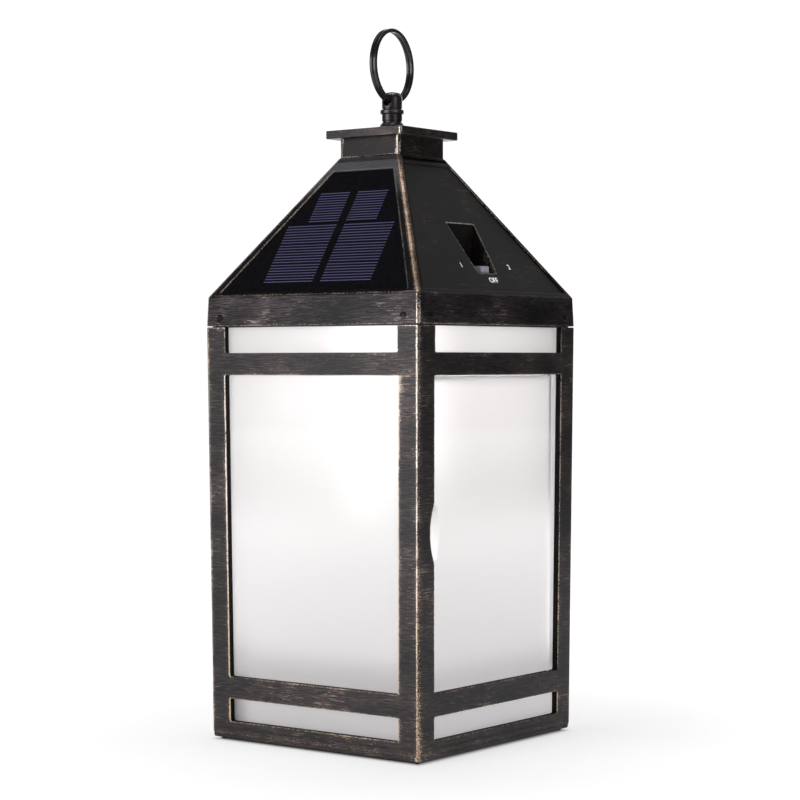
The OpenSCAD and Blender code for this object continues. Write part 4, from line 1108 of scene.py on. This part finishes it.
# ------------------------------------------------------------------ labels on the switch face: OFF and two position numbers
def label(name, text, y, z, size):
    cu = bpy.data.curves.new(name, "FONT")
    cu.body, cu.size, cu.align_x, cu.align_y, cu.extrude = text, size * MM, "CENTER", "CENTER", 0.03 * MM
    cu.resolution_u = 4
    ob = bpy.data.objects.new(name, cu)
    bpy.context.scene.collection.objects.link(ob)
    v = (z - Z_EAVE + 0.8 * CB) / SB
    p = Vector(on_slope(1, y, v, 0.78)) * MM
    U = Vector((0, 1, 0))
    V = Vector((-CB, 0, SB))
    ob.matrix_world = Matrix((U, V, U.cross(V))).transposed().to_4x4()
    ob.location = p
    bpy.context.view_layer.update()
    dg = bpy.context.evaluated_depsgraph_get()
    mesh = bpy.data.meshes.new_from_object(ob.evaluated_get(dg))
    mesh.transform(ob.matrix_world)
    mesh.materials.clear()
    mesh.materials.append(M_LABEL)
    out = bpy.data.objects.new(name + "_print", mesh)
    bpy.context.scene.collection.objects.link(out)
    bpy.data.objects.remove(ob)
    return place(out, "lantern", slot="knob_grey")


label("mark_off", "OFF", 3.5, 257.5, 4.8)
label("mark_1", "1", -19.9, 265.4, 4.6)
label("mark_2", "2", 26.0, 265.6, 4.6)

# ------------------------------------------------------------------ CAD nodes that stay, with their own finishes
KEEP = {
    "foot_screws": M_SCREW, "skirt_screws": M_SCREW, "solar_panel": M_BOARD, "solar_cells": M_CELLS,
    "hanger_nut": M_STEEL, "hanger_washer": M_STEEL, "slide_switch": M_CASE, "switch_screws": M_STEEL,
    "light_tray": M_WHITE, "tray_screws": M_STEEL, "roof_seal": M_FOAM, "led_board": M_PCB, "led_board_screws": M_STEEL,
    "white_leds": M_LED_W, "amber_leds": M_LED_A, "light_diffuser": M_TUBE, "diffuser_screws": M_STEEL,
    "control_board": M_PCB, "board_parts": M_PART, "board_screws": M_STEEL, "battery": M_CELL_AA,
    "battery_contacts": M_NICKEL, "battery_cover": M_WHITE, "battery_cover_screw": M_STEEL,
    "solar_leads": M_WIRE, "battery_leads": M_WIRE, "led_leads": M_WIRE, "switch_leads": M_WIRE,
}
for name, mat in KEEP.items():
    ob = NODES[name]
    if ob.material_slots:
        for sl in ob.material_slots:
            sl.link = "OBJECT"
            sl.material = mat
    else:
        ob.data.materials.append(mat)

# ------------------------------------------------------------------ stage, light and camera
scene = bpy.context.scene
FLOOR_PAINTED_SHADE_NEAR, FLOOR_FAR, FLOOR_SEEN_BY_OTHERS = 0.70, 1.05, 0.6
WORLD_DIM, WORLD_BACK = 0.05, 1.9
floor_mesh = bpy.data.meshes.new("floor")
bm = bmesh.new()
bmesh.ops.create_circle(bm, cap_ends=True, cap_tris=False, segments=128, radius=1.3)
bm.to_mesh(floor_mesh)
bm.free()
floor = bpy.data.objects.new("floor", floor_mesh)
scene.collection.objects.link(floor)
fn = Nodes("floor_white")
xyz = fn.add("ShaderNodeSeparateXYZ", {0: fn.obj})
# painted shadow: the floor's glow is nothing under the lantern's footprint; painted shade: it is lower near the lantern
# and rises outwards
painted_shadow_under_base = fn.math("SUBTRACT", fn.math("MAXIMUM", fn.math("ABSOLUTE", xyz.outputs[0]), fn.math("ABSOLUTE", xyz.outputs[1])), 0.0727)
away = fn.math("POWER", fn.math("ADD", fn.math("MULTIPLY", xyz.outputs[0], xyz.outputs[0]), fn.math("MULTIPLY", xyz.outputs[1], xyz.outputs[1])), 0.5)
glow = fn.math("MULTIPLY", fn.remap(painted_shadow_under_base, -0.006, 0.003), fn.remap(away, 0.08, 0.42, FLOOR_PAINTED_SHADE_NEAR, FLOOR_FAR))
seen = fn.remap(fn.add("ShaderNodeLightPath").outputs["Is Camera Ray"], 0.0, 1.0, FLOOR_SEEN_BY_OTHERS, 1.0)
glow = fn.math("MULTIPLY", glow, seen)
fp = fn.add("ShaderNodeBsdfDiffuse", {"Color": (0.5, 0.5, 0.502, 1)})
fe = fn.add("ShaderNodeEmission", {"Color": (1, 1, 1, 1), "Strength": glow})
floor_mesh.materials.append(fn.finish(fn.add("ShaderNodeAddShader", {0: fp.outputs[0], 1: fe.outputs[0]}).outputs[0]))

# white studio: bright where the background is, dim elsewhere
world = bpy.data.worlds.new("studio")
scene.world = world
world.use_nodes = True
wt = world.node_tree
wt.nodes.clear()


def wnode(kind, **props):
    nd = wt.nodes.new(kind)
    for k, v in props.items():
        setattr(nd, k, v)
    return nd


wo, lp, tc = wnode("ShaderNodeOutputWorld"), wnode("ShaderNodeLightPath"), wnode("ShaderNodeTexCoord")
dot = wnode("ShaderNodeVectorMath", operation="DOT_PRODUCT")
dot.inputs[1].default_value = (-0.605, 0.796, 0.0)
wt.links.new(tc.outputs["Generated"], dot.inputs[0])
lobe = wnode("ShaderNodeMapRange", interpolation_type="SMOOTHSTEP")
for key, val in (("From Min", 0.74), ("From Max", 0.87), ("To Min", WORLD_DIM), ("To Max", WORLD_BACK)):
    lobe.inputs[key].default_value = val
wt.links.new(dot.outputs["Value"], lobe.inputs["Value"])
b1, b2 = wnode("ShaderNodeBackground"), wnode("ShaderNodeBackground")
b1.inputs[0].default_value = (1, 1, 1, 1)
wt.links.new(lobe.outputs["Result"], b1.inputs[1])
b2.inputs[0].default_value, b2.inputs[1].default_value = (1, 1, 1, 1), 1.05
mx = wnode("ShaderNodeMixShader")
wt.links.new(lp.outputs["Is Camera Ray"], mx.inputs[0])
wt.links.new(b1.outputs[0], mx.inputs[1])
wt.links.new(b2.outputs[0], mx.inputs[2])
wt.links.new(mx.outputs[0], wo.inputs[0])


def area_light(name, loc, target, size, power, size_y=None, color=(1, 1, 1)):
    li = bpy.data.lights.new(name, "AREA")
    li.energy, li.size, li.color = power, size, color
    if size_y:
        li.shape, li.size_y = "RECTANGLE", size_y
    ob = bpy.data.objects.new(name, li)
    scene.collection.objects.link(ob)
    ob.location = loc
    ob.rotation_euler = (Vector(target) - Vector(loc)).to_track_quat("-Z", "Y").to_euler()
    return ob


area_light("key_front", (-0.57, -1.66, 0.45), (0, 0, 0.22), 1.25, 15.0, 1.1)
area_light("fill_right", (1.75, -0.45, 0.65), (0, 0, 0.2), 0.9, 3.7, 0.9)
area_light("top_soft", (-0.1, -0.1, 1.8), (0, 0, 0.2), 0.9, 4.0)
area_light("back_top", (0.55, 1.6, 1.35), (0, 0, 0.3), 1.3, 1.3)

cam_data = bpy.data.cameras.new("camera")
cam = bpy.data.objects.new("camera", cam_data)
scene.collection.objects.link(cam)
cam_data.sensor_width, cam_data.lens = 36.0, 101.64
cam_data.clip_start, cam_data.clip_end = 0.05, 50
a2, th, ro = math.radians(37.257), math.radians(0.977), math.radians(-0.095)
fwd = Vector((-math.sin(a2) * math.cos(th), math.cos(a2) * math.cos(th), -math.sin(th)))
right = Vector((math.cos(a2), math.sin(a2), 0))
up = right.cross(fwd)
r2 = right * math.cos(ro) + up * math.sin(ro)
u2 = up * math.cos(ro) - right * math.sin(ro)
M = Matrix((r2, u2, -fwd)).transposed().to_4x4()
M.translation = Vector((0.78249, -1.02175, 0.21285))
cam.matrix_world = M
scene.camera = cam
scene.view_settings.view_transform = "Standard"
scene.view_settings.look = "None"
scene.cycles.use_denoising = True
scene.cycles.max_bounces = 10
scene.cycles.transmission_bounces = 8
scene.cycles.diffuse_bounces = 5
scene.cycles.sample_clamp_indirect = 6.0
